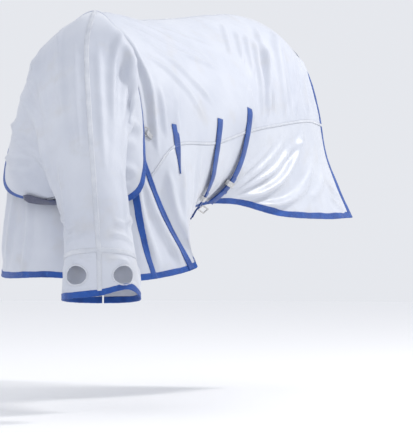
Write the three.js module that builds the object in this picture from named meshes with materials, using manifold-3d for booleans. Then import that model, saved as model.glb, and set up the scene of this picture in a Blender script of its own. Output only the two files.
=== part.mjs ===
// A horse's fly sheet with an attached neck cover and ear hood, in its worn shape, in millimetres.
// Frame: origin on the horse's withers under the sheet, +X to the horse's left, +Y to its tail, +Z up.
// Every cloth piece is a slab laid on one of four smooth surfaces: body, neck, belly flap and tail flap.
import * as THREE from "three";
import Module from "manifold-3d";
import { mergeVertices } from "three/addons/utils/BufferGeometryUtils.js";

const wasm = await Module();
wasm.setup();

// ---- driving dimensions -------------------------------------------------------------------------
const CLOTH = 4; // thickness of a cloth panel
const LAYER = 9; // from one layer of cloth to the next where two overlap
const CHEST_LAYER = 15; // the same at the chest, where touch tape lies between
const STRAP_THICK = 3;
const STRAP_WIDTH = 40; // surcingle webbing
const STRAP_LIFT = 16; // from the sheet's surface to the underside of a surcingle
const BINDING = 24; // width of the blue edge tape
const TAPE_THICK = 2.5; // seam tapes, pressed-on closures and the slit's tape
const SEAM_GAP = 2; // between two pieces that are sewn edge to edge
const HEM_GAP = 4; // the same along a hem, whose edge curves both ways
const FACE_GAP = 0.5; // between a tape or tab and the face that it is sewn to
const BACK_LENGTH = 1355; // withers to dock
const HALF_WIDTH = 325; // spine plane to the widest point of the barrel
const DROP = 1000; // withers to the lower corner of the front apron
const NECK_LENGTH = 1185; // withers to poll, in a straight line
const HOOD_HALF_WIDTH = 152; // at the front edge of the hood
const EAR_HOLE = { width: 78, height: 96 };
const RING_WIRE = 4; // wire of the rings
const RING_CLEARANCE = 1; // all round a ring's bar in its loop

// ---- colours ------------------------------------------------------------------------------------
const white = (roughness) => new THREE.MeshStandardMaterial({ color: 0xe4e7ee, roughness });
const MATERIALS = {
  mesh_cloth: white(0.75),
  satin_cloth: white(0.45),
  tape: new THREE.MeshStandardMaterial({ color: 0x2a52a8, roughness: 0.6 }),
  webbing: new THREE.MeshStandardMaterial({ color: 0x1f4c9f, roughness: 0.65 }),
  closure: new THREE.MeshStandardMaterial({ color: 0x1b2450, roughness: 0.8 }),
  metal: new THREE.MeshStandardMaterial({ color: 0xb9bcc2, roughness: 0.3, metalness: 1 }),
};

// ---- surfaces -----------------------------------------------------------------------------------
const vec = (x, y, z) => new THREE.Vector3(x, y, z);
const mirrored = (p) => vec(-p.x, p.y, p.z);
const beyond = (a, b) => a.clone().multiplyScalar(2).sub(b);

// A smooth curve through points, where a whole number t is the point of that index.
function through(points, t) {
  const i = Math.min(Math.max(Math.floor(t), 0), points.length - 2);
  const [b, c] = [points[i], points[i + 1]];
  const a = points[i - 1] ?? beyond(b, c);
  const d = points[i + 2] ?? beyond(c, b);
  const f = t - i;
  const weights = [
    ((2 - f) * f - 1) * f,
    (3 * f - 5) * f * f + 2,
    ((4 - 3 * f) * f + 1) * f,
    (f - 1) * f * f,
  ];
  return [a, b, c, d].reduce((sum, p, k) => sum.addScaledVector(p, weights[k] / 2), vec(0, 0, 0));
}

// A surface given by its point at (u, v), with its unit normal. Out is -1 where u and v run the other
// way round, so that every normal points out of the sheet.
function surfaceOf(at, out = 1) {
  const normal = (u, v, step = 0.01) => {
    const along = at(u + step, v).sub(at(u - step, v));
    const across = at(u, v + step).sub(at(u, v - step));
    return along.cross(across).normalize().multiplyScalar(out);
  };
  return { at, normal };
}

// A surface through a net of points: u counts columns from firstColumn, and v counts rows from firstRow.
function netSurface(columns, firstColumn = 0, firstRow = 0, out = 1) {
  const rows = columns[0].map((_, r) => columns.map((column) => column[r]));
  return surfaceOf((u, v) => through(rows.map((row) => through(row, u - firstColumn)), v - firstRow), out);
}

// Body: one column of five points at each station, from the neckline or spine down to the hem.
// Shares of the driving sizes place the points: across is 1 at the widest barrel, along is 1 at the
// dock, and down is 1 at the apron's lower corner.
const bodyPoint = ([across, along, down]) =>
  vec(across * HALF_WIDTH, along * BACK_LENGTH, -down * DROP);
const BODY_STATIONS = {
  chest: [
    [0, -0.247, 0.5], [0, -0.288, 0.62], [0, -0.303, 0.76], [0, -0.31, 0.91], [0, -0.312, 1.02],
  ],
  breast: [
    [0.4, -0.215, 0.39], [0.66, -0.22, 0.52], [0.74, -0.2, 0.68], [0.8, -0.205, 0.86], [0.87, -0.2, 1.035],
  ],
  shoulder: [
    [0.36, -0.115, 0.17], [0.67, -0.115, 0.35], [0.84, -0.111, 0.56], [1.01, -0.06, 0.77], [1.23, 0.02, 1],
  ],
  girth: [
    [0, -0.02, 0.012], [0.66, 0, 0.2], [0.93, 0.008, 0.43], [1.1, 0.018, 0.69], [1.13, 0.037, 0.94],
  ],
  barrel: [
    [0, 0.245, 0.044], [0.68, 0.247, 0.19], [1, 0.258, 0.43], [0.89, 0.28, 0.68], [0.51, 0.31, 0.8],
  ],
  flank: [
    [0, 0.48, 0.05], [0.66, 0.48, 0.185], [1, 0.48, 0.41], [0.93, 0.48, 0.62], [0.74, 0.472, 0.775],
  ],
  stifle: [
    [0, 0.686, 0.045], [0.66, 0.686, 0.16], [0.985, 0.694, 0.39], [1.03, 0.686, 0.62], [1.06, 0.664, 0.835],
  ],
  hip: [
    [0, 0.87, 0.055], [0.64, 0.878, 0.16], [0.89, 0.893, 0.39], [1.015, 0.893, 0.62], [1.185, 0.893, 0.86],
  ],
  tail: [
    [0.06, 1, 0.105], [0.56, 1.037, 0.245], [0.76, 1.048, 0.43], [0.875, 1.055, 0.63], [1.23, 1.048, 0.865],
  ],
};
const STATION = Object.fromEntries(Object.keys(BODY_STATIONS).map((name, i) => [name, i]));
const halfNet = Object.entries(BODY_STATIONS).map(([name, rows]) => {
  const points = rows.map(bodyPoint);
  const onSpine = STATION[name] >= STATION.girth;
  return [onSpine ? mirrored(points[1]) : beyond(points[0], points[1]), ...points];
});
const otherHalf = halfNet.slice(1).reverse().map((column) => column.map(mirrored));
const body = netSurface([...otherHalf, ...halfNet], -STATION.tail, -1, -1);
const HEM = 4; // the row of the hem
const SEAM = 2.35; // the row of the seam between the mesh side and the satin skirt

// Neck: rings from the loose rear edge to the hood's front edge. Each runs from the crest, v 0, round
// the left side to the underside, v 4, and round the right side at negative v. Two rows more at each
// end let a closure cross the underside.
const share = NECK_LENGTH / 1185;
const neckPoint = (x, y, z) => vec(x, y, z).multiplyScalar(share);
const NECK_RINGS = [
  {
    crest: [0, -34, 4],
    left: [[194, -120, -196], [290, -184, -492], [296, -288, -712]],
    right: [[-190, -120, -182], [-262, -192, -430], [-252, -318, -672]],
    under: [0, -460, -722],
  },
  { crest: [46, -152, -22], under: [46, -482, -704], half: 244, turn: 4, sweep: 35, round: 0.7 },
  { crest: [85, -275, -130], under: [140, -480, -690], half: 180, turn: 18, sweep: 15, round: 0.85 },
  { crest: [215, -500, -385], under: [180, -510, -735], half: 150, turn: 23, sweep: 0, round: 1 },
  { crest: [325, -670, -650], under: [245, -500, -850], half: 130, turn: 27, sweep: 0, round: 1 },
  { crest: [380, -740, -890], under: [285, -535, -960], half: 136, turn: 30, sweep: 0, round: 1 },
  { crest: [388, -750, -985], under: [292, -535, -1030], half: 148, turn: 31, sweep: 0, round: 1 },
  {
    crest: [392, -755, -1070],
    under: [300, -550, -1105],
    half: HOOD_HALF_WIDTH,
    turn: 31,
    sweep: 0,
    round: 1,
    arch: 34,
  },
];
const ARCH = { row: 0.95, spread: 0.75 }; // the brow edge rises here, over the horse's left eye
const UNDER = 4; // the v of the underside
const POLL = 5; // the ring of the seam between neck cover and hood
const BROW = NECK_RINGS.length - 1;
function ringColumn({ crest, under, left, right, half, turn, sweep, round, arch = 0 }) {
  const [top, bottom] = [crest, under].map((place) => neckPoint(...place));
  const middle = top.clone().add(bottom).multiplyScalar(0.5);
  const toCrest = top.clone().sub(middle);
  const turned = THREE.MathUtils.degToRad(turn);
  const aside = vec(Math.cos(turned), Math.sin(turned), 0);
  const onRing = (row) => {
    const angle = (row / UNDER) * Math.PI;
    const [c, s] = [Math.cos(angle), Math.sin(angle)];
    const out = Math.sign(s) * Math.abs(s) ** (c < -0.01 ? round : 1);
    const lean = sweep * s ** 2 * (1 - 0.45 * c);
    const rise = arch * Math.exp(-(((row - ARCH.row) / ARCH.spread) ** 2));
    const onOval = middle.clone().addScaledVector(toCrest, c).addScaledVector(aside, half * out);
    return onOval.add(vec(0, lean, rise));
  };
  const fromSides = (row) => {
    const loop = [crest, ...left, under, ...[...right].reverse()];
    return neckPoint(...loop[(row + loop.length) % loop.length]);
  };
  return Array.from({ length: 2 * UNDER + 5 }, (_, k) => (left ? fromSides : onRing)(k - UNDER - 2));
}
const neck = netSurface(NECK_RINGS.map(ringColumn), 0, -UNDER - 2);

// Belly flap: u runs from its front edge to its rear edge, v from its right side to its left side.
const BELLY = { front: 190, rear: 640, rightX: -132, leftX: 128, sideZ: -758, middleZ: -778 };
const belly = netSurface(
  [0, 1, 2].map((k) => {
    const y = BELLY.front + ((BELLY.rear - BELLY.front) * k) / 2;
    const rise = k === 1 ? 0 : 6;
    return [
      vec(BELLY.rightX, y, BELLY.sideZ + rise),
      vec((BELLY.rightX + BELLY.leftX) / 2, y, BELLY.middleZ + rise),
      vec(BELLY.leftX, y, BELLY.sideZ + rise),
    ];
  }),
);

// Tail flap: u runs from its right side to its left side, v from the dock down.
const TAIL = { topHalf: 70, bottomHalf: 215, topZ: -112, length: 460, gap: 26 };
const tailColumn = (s) => {
  const start = BACK_LENGTH;
  const lower = TAIL.topZ - TAIL.length;
  return [
    vec(s * TAIL.topHalf, start - 2, TAIL.topZ - Math.abs(s) * 16),
    vec(s * 0.72 * TAIL.bottomHalf, start + 62 + TAIL.gap, TAIL.topZ - 120),
    vec(s * 0.9 * TAIL.bottomHalf, start + 82 + TAIL.gap, TAIL.topZ - 290),
    vec(s * TAIL.bottomHalf, start + 90 + TAIL.gap, lower),
  ];
};
const tail = netSurface([-1, -0.5, 0, 0.5, 1].map(tailColumn));

// ---- solids -------------------------------------------------------------------------------------
const group = new THREE.Group();
const meshNamed = (name, geometry, material) => {
  const mesh = new THREE.Mesh(geometry, MATERIALS[material]);
  mesh.name = name;
  group.add(mesh);
  return mesh;
};

// A closed slab between two offsets of a surface. u and v are [from, to], v may be a function of u,
// lift(u) raises both offsets, and skew moves the slab's far end in v along u.
function slab(surface, { u, v, steps, offset, lift = () => 0, skew = 0 }) {
  const [nu, nv] = steps;
  const range = typeof v === "function" ? v : () => v;
  const positions = [];
  for (const distance of offset)
    for (let i = 0; i <= nu; i++) {
      const a = u[0] + ((u[1] - u[0]) * i) / nu;
      const [low, high] = range(a);
      for (let j = 0; j <= nv; j++) {
        const b = low + ((high - low) * j) / nv;
        const height = distance + lift(a);
        const along = a + (skew * j) / nv;
        const p = surface.at(along, b).addScaledVector(surface.normal(along, b), height);
        positions.push(p.x, p.y, p.z);
      }
    }
  const layer = (nu + 1) * (nv + 1);
  const id = (i, j, top) => top * layer + i * (nv + 1) + j;
  const index = [];
  const quad = (a, b, c, d) => index.push(a, b, c, a, c, d);
  for (let i = 0; i < nu; i++)
    for (let j = 0; j < nv; j++) {
      quad(id(i, j, 1), id(i + 1, j, 1), id(i + 1, j + 1, 1), id(i, j + 1, 1));
      quad(id(i, j, 0), id(i, j + 1, 0), id(i + 1, j + 1, 0), id(i + 1, j, 0));
    }
  for (let i = 0; i < nu; i++) {
    quad(id(i, 0, 0), id(i + 1, 0, 0), id(i + 1, 0, 1), id(i, 0, 1));
    quad(id(i, nv, 0), id(i, nv, 1), id(i + 1, nv, 1), id(i + 1, nv, 0));
  }
  for (let j = 0; j < nv; j++) {
    quad(id(0, j, 0), id(0, j, 1), id(0, j + 1, 1), id(0, j + 1, 0));
    quad(id(nu, j, 0), id(nu, j + 1, 0), id(nu, j + 1, 1), id(nu, j, 1));
  }
  const geometry = new THREE.BufferGeometry();
  geometry.setAttribute("position", new THREE.Float32BufferAttribute(positions, 3));
  geometry.setIndex(index);
  return outward(geometry);
}

// The geometry with its faces turned out, whichever way round its surface was laid.
function outward(geometry) {
  const p = geometry.getAttribute("position");
  const index = geometry.getIndex();
  let volume = 0;
  for (let k = 0; k < index.count; k += 3) {
    const [a, b, c] = [0, 1, 2].map((n) => vec().fromBufferAttribute(p, index.getX(k + n)));
    volume += a.dot(b.cross(c));
  }
  if (volume < 0)
    for (let k = 0; k < index.count; k += 3) {
      const kept = index.getX(k + 1);
      index.setX(k + 1, index.getX(k + 2));
      index.setX(k + 2, kept);
    }
  return geometry;
}

const asSolid = (geometry) => {
  const bare = geometry.clone();
  bare.deleteAttribute("normal");
  bare.deleteAttribute("uv");
  const merged = mergeVertices(bare, 1e-3);
  return new wasm.Manifold(
    new wasm.Mesh({
      numProp: 3,
      vertProperties: merged.getAttribute("position").array,
      triVerts: new Uint32Array(merged.getIndex().array),
    }),
  );
};
const asGeometry = (solid) => {
  const { vertProperties, triVerts } = solid.getMesh();
  return new THREE.BufferGeometry()
    .setAttribute("position", new THREE.BufferAttribute(vertProperties, 3))
    .setIndex(new THREE.BufferAttribute(triVerts, 1));
};

// How far one unit of u or v reaches on a surface, in millimetres.
const stretchU = (surface, u, v) => surface.at(u + 0.05, v).distanceTo(surface.at(u - 0.05, v)) * 10;
const stretchV = (surface, u, v) => surface.at(u, v + 0.05).distanceTo(surface.at(u, v - 0.05)) * 10;

// ---- cloth panels -------------------------------------------------------------------------------
const OUTER = [0, CLOTH];
const BOUND = [-1.5, CLOTH + 1.5]; // an edge tape wraps both faces of the cloth's edge
const lifted = ([low, high], by) => [low + by, high + by];
const ON_FACE = [CLOTH + FACE_GAP, CLOTH + FACE_GAP + TAPE_THICK];
const SIDES = [
  { side: "left", sign: 1 },
  { side: "right", sign: -1 },
];
const span = (sign, from, to) => (sign > 0 ? [from, to] : [-to, -from]);
const widthInU = (surface, width, u, v) => width / stretchU(surface, u, v);
const widthInV = (surface, width, u, v) => width / stretchV(surface, u, v);

const FRONT_U = STATION.shoulder + widthInU(body, 2 * SEAM_GAP, STATION.shoulder, 2);
const REAR_TAPE_U = STATION.tail - widthInU(body, BINDING, STATION.tail - 0.05, 3);
const REAR_U = REAR_TAPE_U - widthInU(body, SEAM_GAP, STATION.tail - 0.05, 3);
const SEAM_GAP_V = widthInV(body, SEAM_GAP, STATION.barrel, SEAM);
const SPINE_V = 0.06;
const SEAM_TAPE_V = SPINE_V - widthInV(body, SEAM_GAP, STATION.barrel, 0);
const BODY_STEPS = 15;
const hemTapeV = (u) => HEM - widthInV(body, BINDING, u, HEM - 0.05);
const clothHemV = (u) => hemTapeV(u) - widthInV(body, HEM_GAP, u, HEM - 0.05);

for (const { side, sign } of SIDES) {
  meshNamed(`${side}_side`, slab(body, {
    u: span(sign, FRONT_U, REAR_U),
    v: [SPINE_V, SEAM],
    steps: [BODY_STEPS, 7],
    offset: OUTER,
  }), "mesh_cloth");
  meshNamed(`${side}_skirt`, slab(body, {
    u: span(sign, FRONT_U, REAR_U),
    v: (u) => [SEAM + SEAM_GAP_V, clothHemV(u)],
    steps: [BODY_STEPS, 6],
    offset: OUTER,
  }), "satin_cloth");
  meshNamed(`${side}_hem_tape`, slab(body, {
    u: span(sign, FRONT_U, REAR_U),
    v: (u) => [hemTapeV(u), HEM],
    steps: [BODY_STEPS, 1],
    offset: BOUND,
  }), "tape");
  meshNamed(`${side}_rear_tape`, slab(body, {
    u: span(sign, REAR_TAPE_U, STATION.tail),
    v: [SPINE_V, HEM],
    steps: [1, 12],
    offset: BOUND,
  }), "tape");
  meshNamed(`${side}_gusset`, slab(body, {
    u: span(sign, STATION.shoulder - 0.3, STATION.shoulder + 0.35),
    v: [2.1, HEM - 0.5],
    steps: [4, 8],
    offset: lifted(OUTER, -LAYER - 2 * CLOTH),
  }), "satin_cloth");
}

// The right chest flap crosses the chest, lifts and closes over the left one.
const FLAP_EDGE = STATION.breast + 0.3;
const LEFT_CHEST_EDGE = STATION.breast - 0.2;
const CHEST_ROWS = 12;
const flapLift = (u) => CHEST_LAYER * THREE.MathUtils.smoothstep(u, 0.2, 0.75);
const flapTapeU = FLAP_EDGE - widthInU(body, BINDING, FLAP_EDGE, 2);
const flapClothU = flapTapeU - widthInU(body, SEAM_GAP, FLAP_EDGE, 2);
meshNamed("right_chest", slab(body, {
  u: [-STATION.shoulder, flapClothU],
  v: (u) => [0, clothHemV(u)],
  steps: [20, CHEST_ROWS],
  offset: OUTER,
  lift: flapLift,
}), "mesh_cloth");
meshNamed("right_apron_hem_tape", slab(body, {
  u: [-STATION.shoulder, flapClothU],
  v: (u) => [hemTapeV(u), HEM],
  steps: [20, 1],
  offset: BOUND,
  lift: flapLift,
}), "tape");
meshNamed("flap_edge_tape", slab(body, {
  u: [flapTapeU, FLAP_EDGE],
  v: [0, HEM],
  steps: [1, CHEST_ROWS],
  offset: BOUND,
  lift: flapLift,
}), "tape");
meshNamed("left_chest", slab(body, {
  u: [LEFT_CHEST_EDGE, STATION.shoulder],
  v: (u) => [0, clothHemV(u)],
  steps: [8, CHEST_ROWS],
  offset: OUTER,
}), "mesh_cloth");
meshNamed("left_apron_hem_tape", slab(body, {
  u: [LEFT_CHEST_EDGE, STATION.shoulder],
  v: (u) => [hemTapeV(u), HEM],
  steps: [8, 1],
  offset: BOUND,
}), "tape");

// Below the shoulder the chest flaps hang free of the skirts, with a tape along the free edge.
const slitU = widthInU(body, BINDING, STATION.shoulder, 3);
for (const { side, sign } of SIDES)
  meshNamed(`${side}_slit_tape`, slab(body, {
    u: span(sign, STATION.shoulder - slitU, STATION.shoulder),
    v: (u) => [clothHemV(u) / 2, clothHemV(u)],
    steps: [1, CHEST_ROWS / 2],
    offset: lifted([0, TAPE_THICK], CLOTH + 2),
  }), "tape");

// Touch tape between the two flaps.
const PAD_ROWS = [0.5, 3.5];
const PAD_THICK = 1.5;
const padSpace = (CHEST_LAYER - CLOTH - 2 * PAD_THICK) / 3;
const pad = (name, low) =>
  meshNamed(name, slab(body, {
    u: [LEFT_CHEST_EDGE + 0.04, flapClothU - 0.02],
    v: PAD_ROWS,
    steps: [4, 9],
    offset: [low, low + PAD_THICK],
  }), "closure");
pad("chest_hook_tape", CLOTH + padSpace);
pad("chest_loop_tape", CLOTH + 2 * padSpace + PAD_THICK);

// Tape along the back seam, between the two side panels.
const spine = surfaceOf((u, v) => (v < 0 ? mirrored(body.at(u, -v)) : body.at(u, v)), -1);
meshNamed("back_seam_tape", slab(spine, {
  u: [FRONT_U, REAR_U],
  v: [-SEAM_TAPE_V, SEAM_TAPE_V],
  steps: [BODY_STEPS, 2],
  offset: [-1, CLOTH + 1],
}), "mesh_cloth");

// ---- neck cover and hood ------------------------------------------------------------------------
const CREST_V = 0.03;
const EAR = { u: 5.95, v: 0.86 };
const neckEdgeU = widthInU(neck, BINDING, 0.1, 2);
const neckClothU = neckEdgeU + widthInU(neck, 2 * SEAM_GAP, 0.1, 2);
const browTapeU = BROW - widthInU(neck, BINDING, BROW - 0.1, 0);
const browClothU = browTapeU - widthInU(neck, SEAM_GAP, BROW - 0.1, 0);
const pollTapeU = widthInU(neck, BINDING / 2, POLL, 0);
const pollClothU = pollTapeU + widthInU(neck, SEAM_GAP, POLL, 0);

// A round-ended opening cut straight through a panel along its own normal.
function withHole(geometry, surface, { u, v }, { width, height }) {
  const outline = new THREE.Shape().absellipse(0, 0, width / 2, height / 2, 0, Math.PI * 2);
  const punch = new THREE.ExtrudeGeometry(outline, { depth: 80, bevelEnabled: false, curveSegments: 10 });
  punch.translate(0, 0, -40);
  punch.applyMatrix4(placeOn(surface, u, v, 0));
  return asGeometry(asSolid(geometry).subtract(asSolid(punch)));
}

// Local X runs along +u, local Z out of the surface, at a height above it.
function placeOn(surface, u, v, height) {
  const z = surface.normal(u, v);
  const alongU = surface.at(u + 0.02, v).sub(surface.at(u - 0.02, v));
  const y = z.clone().cross(alongU).normalize();
  const x = y.clone().cross(z);
  const origin = surface.at(u, v).addScaledVector(z, height);
  return new THREE.Matrix4().makeBasis(x, y, z).setPosition(origin);
}

for (const { side, sign } of SIDES) {
  const around = span(sign, CREST_V, UNDER - CREST_V);
  const panel = (u, steps, offset = OUTER) => slab(neck, { u, v: around, steps, offset });
  meshNamed(`${side}_neck_edge_tape`, panel([0, neckEdgeU], [1, 10], BOUND), "tape");
  meshNamed(`${side}_neck`, panel([neckClothU, POLL - pollClothU], [13, 10]), "mesh_cloth");
  const hood = panel([POLL + pollClothU, browClothU], [5, 10]);
  const ear = { u: EAR.u, v: EAR.v * sign };
  meshNamed(`${side}_hood`, withHole(hood, neck, ear, EAR_HOLE), "mesh_cloth");
  meshNamed(`${side}_brow_tape`, panel([browTapeU, BROW], [1, 10], BOUND), "tape");
  meshNamed(`${side}_poll_tape`, panel([POLL - pollTapeU, POLL + pollTapeU], [1, 10], BOUND), "mesh_cloth");
}
meshNamed("crest_seam_tape", slab(neck, {
  u: [neckClothU, POLL - pollClothU],
  v: [-0.12, 0.12],
  steps: [13, 2],
  offset: lifted(ON_FACE, 2),
}), "mesh_cloth");

// Closures under the throat, each sewn to the left side and pressed onto the right.
const CLOSURES = { bib: 0.32, throat: 3.55, jaw: 4.55, cheek: 6.35 };
for (const [name, u] of Object.entries(CLOSURES)) {
  const half = 19 / stretchU(neck, u, UNDER);
  meshNamed(`${name}_closure`, slab(neck, {
    u: [u - half, u + half],
    v: [UNDER - 0.2, UNDER + 0.4],
    steps: [1, 4],
    offset: lifted(ON_FACE, 6),
  }), "closure");
}

// ---- tail flap and belly flap -------------------------------------------------------------------
const TAIL_TAPE_V = 2.84;
const tailPatch = (v, steps, offset) => slab(tail, { u: [0, 4], v, steps: [6, steps], offset });
meshNamed("tail_flap", tailPatch([0.12, TAIL_TAPE_V - 0.014], 6, OUTER), "satin_cloth");
meshNamed("tail_flap_tape", tailPatch([TAIL_TAPE_V, 3], 1, BOUND), "tape");
const bellyCloth = slab(belly, { u: [0.12, 1.88], v: [0, 2], steps: [4, 5], offset: OUTER });
meshNamed("belly_flap", bellyCloth, "mesh_cloth");
const bellyTape = (name, u, v) =>
  meshNamed(name, slab(belly, { u, v, steps: [1, 5], offset: BOUND }), "tape");
bellyTape("belly_flap_front_tape", [0, 0.11], [0, 2]);
bellyTape("belly_flap_rear_tape", [1.89, 2], [0, 2]);

// ---- surcingles ---------------------------------------------------------------------------------
// Each strap is sewn to the sheet at its top and hooks to the belly flap's left edge.
const SURCINGLES = {
  front: { u: 3.1, v: [2.05, 2.75], skew: -0.16 },
  middle: { u: 4.12, v: [2, 3.86], skew: -0.42 },
  rear: { u: 5.02, v: [1.95, 3.86], skew: -0.5 },
};
const strapU = ({ u, v, skew }, row) => u + (skew * (row - v[0])) / (v[1] - v[0]);
const strapOffset = [STRAP_LIFT, STRAP_LIFT + STRAP_THICK];
for (const [name, { u, v, skew }] of Object.entries(SURCINGLES)) {
  const half = STRAP_WIDTH / 2 / stretchU(body, u, v[0]);
  meshNamed(`${name}_surcingle`, slab(body, {
    u: [u - half, u + half],
    v,
    steps: [1, Math.round((v[1] - v[0]) * 6)],
    offset: strapOffset,
    skew,
  }), "webbing");
}

// A flat ring: a rectangle or D with a hole, bars of the given width, extruded to thick about z 0.
function flatRing(outerWidth, outerHeight, bar, thick, round = 2) {
  const frame = (path, w, h, r) => {
    path.moveTo(-w / 2 + r, -h / 2);
    path.lineTo(w / 2 - r, -h / 2);
    path.quadraticCurveTo(w / 2, -h / 2, w / 2, -h / 2 + r);
    path.lineTo(w / 2, h / 2 - r);
    path.quadraticCurveTo(w / 2, h / 2, w / 2 - r, h / 2);
    path.lineTo(-w / 2 + r, h / 2);
    path.quadraticCurveTo(-w / 2, h / 2, -w / 2, h / 2 - r);
    path.lineTo(-w / 2, -h / 2 + r);
    path.quadraticCurveTo(-w / 2, -h / 2, -w / 2 + r, -h / 2);
    return path;
  };
  const shape = frame(new THREE.Shape(), outerWidth, outerHeight, round);
  shape.holes.push(frame(new THREE.Path(), outerWidth - 2 * bar, outerHeight - 2 * bar, 0.5));
  const ring = new THREE.ExtrudeGeometry(shape, { depth: thick, bevelEnabled: false, curveSegments: 3 });
  return ring.translate(0, 0, -thick / 2);
}

// A slider that the strap threads: a box with a slot through it along the strap, local Y.
const SLIDER = { width: STRAP_WIDTH + 18, length: 22, wall: 2.2, play: 4.5 };
function sliderGeometry() {
  const inner = STRAP_THICK + 2 * SLIDER.play;
  const ring = flatRing(SLIDER.width, inner + 2 * SLIDER.wall, SLIDER.wall, SLIDER.length, 2);
  return ring.rotateX(Math.PI / 2);
}
const SLIDER_V = 3.3;
const strapMiddle = STRAP_LIFT + STRAP_THICK / 2;

// Local Y runs down the strap and local Z out of the sheet, at the strap's middle thickness.
function onStrap(strap, row) {
  const place = (v) => {
    const u = strapU(strap, v);
    return body.at(u, v).addScaledVector(body.normal(u, v), strapMiddle);
  };
  const down = place(row + 0.02).sub(place(row - 0.02)).normalize();
  const x = down.clone().cross(body.normal(strapU(strap, row), row)).normalize();
  return new THREE.Matrix4().makeBasis(x, down, x.clone().cross(down)).setPosition(place(row));
}
for (const name of ["middle", "rear"])
  meshNamed(`${name}_slider`, sliderGeometry(), "metal").applyMatrix4(onStrap(SURCINGLES[name], SLIDER_V));

// A slot plate hangs from the end of each long strap and fastens to the belly flap.
const PLATE = { width: 52, height: 30, bar: 6, thick: 3 };
for (const name of ["middle", "rear"])
  meshNamed(`${name}_slot_plate`, flatRing(PLATE.width, PLATE.height, PLATE.bar, PLATE.thick), "metal")
    .applyMatrix4(onStrap(SURCINGLES[name], HEM - 0.03)
      .multiply(new THREE.Matrix4().makeTranslation(0, PLATE.height / 2 + 3, 0)));

// ---- neck rings ---------------------------------------------------------------------------------
// Webbing tabs on the sheet behind the neck cover's edge. Each ends in an eye, and a D-ring's straight
// bar turns in the eye.
const TAB = { width: 20, length: 34, thick: 2, lift: 2 };
const EYE_RADIUS = RING_WIRE * Math.SQRT1_2 + RING_CLEARANCE / 2;
const EYE_WALL = 1.8;
const RING = { width: 38, height: 30 };
const eyeHeight = CLOTH + TAB.lift + EYE_RADIUS + EYE_WALL;
const cylinderAlongX = (radius, length) =>
  new THREE.CylinderGeometry(radius, radius, length, 20).rotateZ(Math.PI / 2);
function tabGeometry() {
  const bottom = -EYE_RADIUS - EYE_WALL;
  const tongue = new THREE.BoxGeometry(TAB.width, TAB.length, TAB.thick)
    .translate(0, -TAB.length / 2, bottom + TAB.thick / 2);
  const eye = asSolid(cylinderAlongX(EYE_RADIUS + EYE_WALL, TAB.width));
  return asGeometry(asSolid(tongue).add(eye).subtract(asSolid(cylinderAlongX(EYE_RADIUS, 2 * TAB.width))));
}
function ringGeometry() {
  const bow = (half, top, depth) =>
    Array.from({ length: 13 }, (_, k) => {
      const angle = Math.PI * (k / 12 - 1);
      return new THREE.Vector2(half * Math.cos(angle), top + depth * Math.sin(angle));
    });
  const shape = new THREE.Shape(bow(RING.width / 2, RING_WIRE / 2, RING.height));
  const hole = bow(RING.width / 2 - RING_WIRE, -RING_WIRE / 2, RING.height - 2 * RING_WIRE);
  shape.holes.push(new THREE.Path(hole));
  return new THREE.ExtrudeGeometry(shape, { depth: RING_WIRE, bevelEnabled: false })
    .translate(0, 0, -RING_WIRE / 2)
    .rotateX(Math.PI);
}
const RING_PLACES = { upper: { u: 2.3, v: 0.72 }, lower: { u: 2.24, v: 1.72 } };
const ringPlace = (sign, { u, v }) => placeOn(body, u * sign, v, eyeHeight);
for (const { side, sign } of SIDES)
  for (const [level, place] of Object.entries(RING_PLACES)) {
    meshNamed(`${side}_${level}_neck_tab`, tabGeometry(), "webbing").applyMatrix4(ringPlace(sign, place));
    meshNamed(`${side}_${level}_neck_ring`, ringGeometry(), "metal").applyMatrix4(ringPlace(sign, place));
  }

// The surfaces and places that the joints' frames are read from.
export { body, neck, placeOn, onStrap, ringPlace };
export { CLOSURES, EAR, RING_PLACES, SLIDER_V, STATION, SURCINGLES, UNDER };

export default group;
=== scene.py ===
"""The looks of a horse's fly sheet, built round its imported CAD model.

Frame: metres, origin on the midline over the withers, +X to the horse's left, +Y to its tail, +Z up.
Every soft piece is laid on one of four smooth surfaces, the same as the CAD model's: body, neck,
belly flap and tail flap. A place on a surface is (u, v): stations and rows on the body, rings and
rows on the neck. Folds are lines in (u, v) with a height and a width in metres.
"""
import math

import bpy
import numpy as np
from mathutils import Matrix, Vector


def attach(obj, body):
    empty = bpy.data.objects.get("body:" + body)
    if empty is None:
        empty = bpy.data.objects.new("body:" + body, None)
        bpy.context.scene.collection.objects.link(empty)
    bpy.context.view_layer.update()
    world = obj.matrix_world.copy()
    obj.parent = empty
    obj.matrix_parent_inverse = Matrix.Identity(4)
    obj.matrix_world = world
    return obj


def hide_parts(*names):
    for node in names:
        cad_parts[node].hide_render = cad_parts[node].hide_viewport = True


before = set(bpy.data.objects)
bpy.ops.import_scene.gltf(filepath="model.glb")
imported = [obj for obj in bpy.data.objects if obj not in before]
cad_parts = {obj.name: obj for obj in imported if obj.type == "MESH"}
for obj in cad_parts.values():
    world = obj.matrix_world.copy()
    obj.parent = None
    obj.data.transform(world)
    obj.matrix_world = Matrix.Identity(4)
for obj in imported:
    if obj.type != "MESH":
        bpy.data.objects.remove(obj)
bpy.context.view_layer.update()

# ---- sizes, the same as the CAD model's ------------------------------------------------------------
BACK_LENGTH = 1.355
HALF_WIDTH = 0.325
DROP = 1.0
HOOD_HALF_WIDTH = 0.152
STRAP_WIDTH = 0.04
STRAP_LIFT = 0.016
CHEST_LAYER = 0.015
GUSSET_DEPTH = -0.015
CLOTH_LIFT = 0.002  # from the surface to the middle of a cloth
CLOTH_THICK = 0.0014
FLOOR_Z = -1.55  # where the horse's hooves stand, below the sheet

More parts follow.
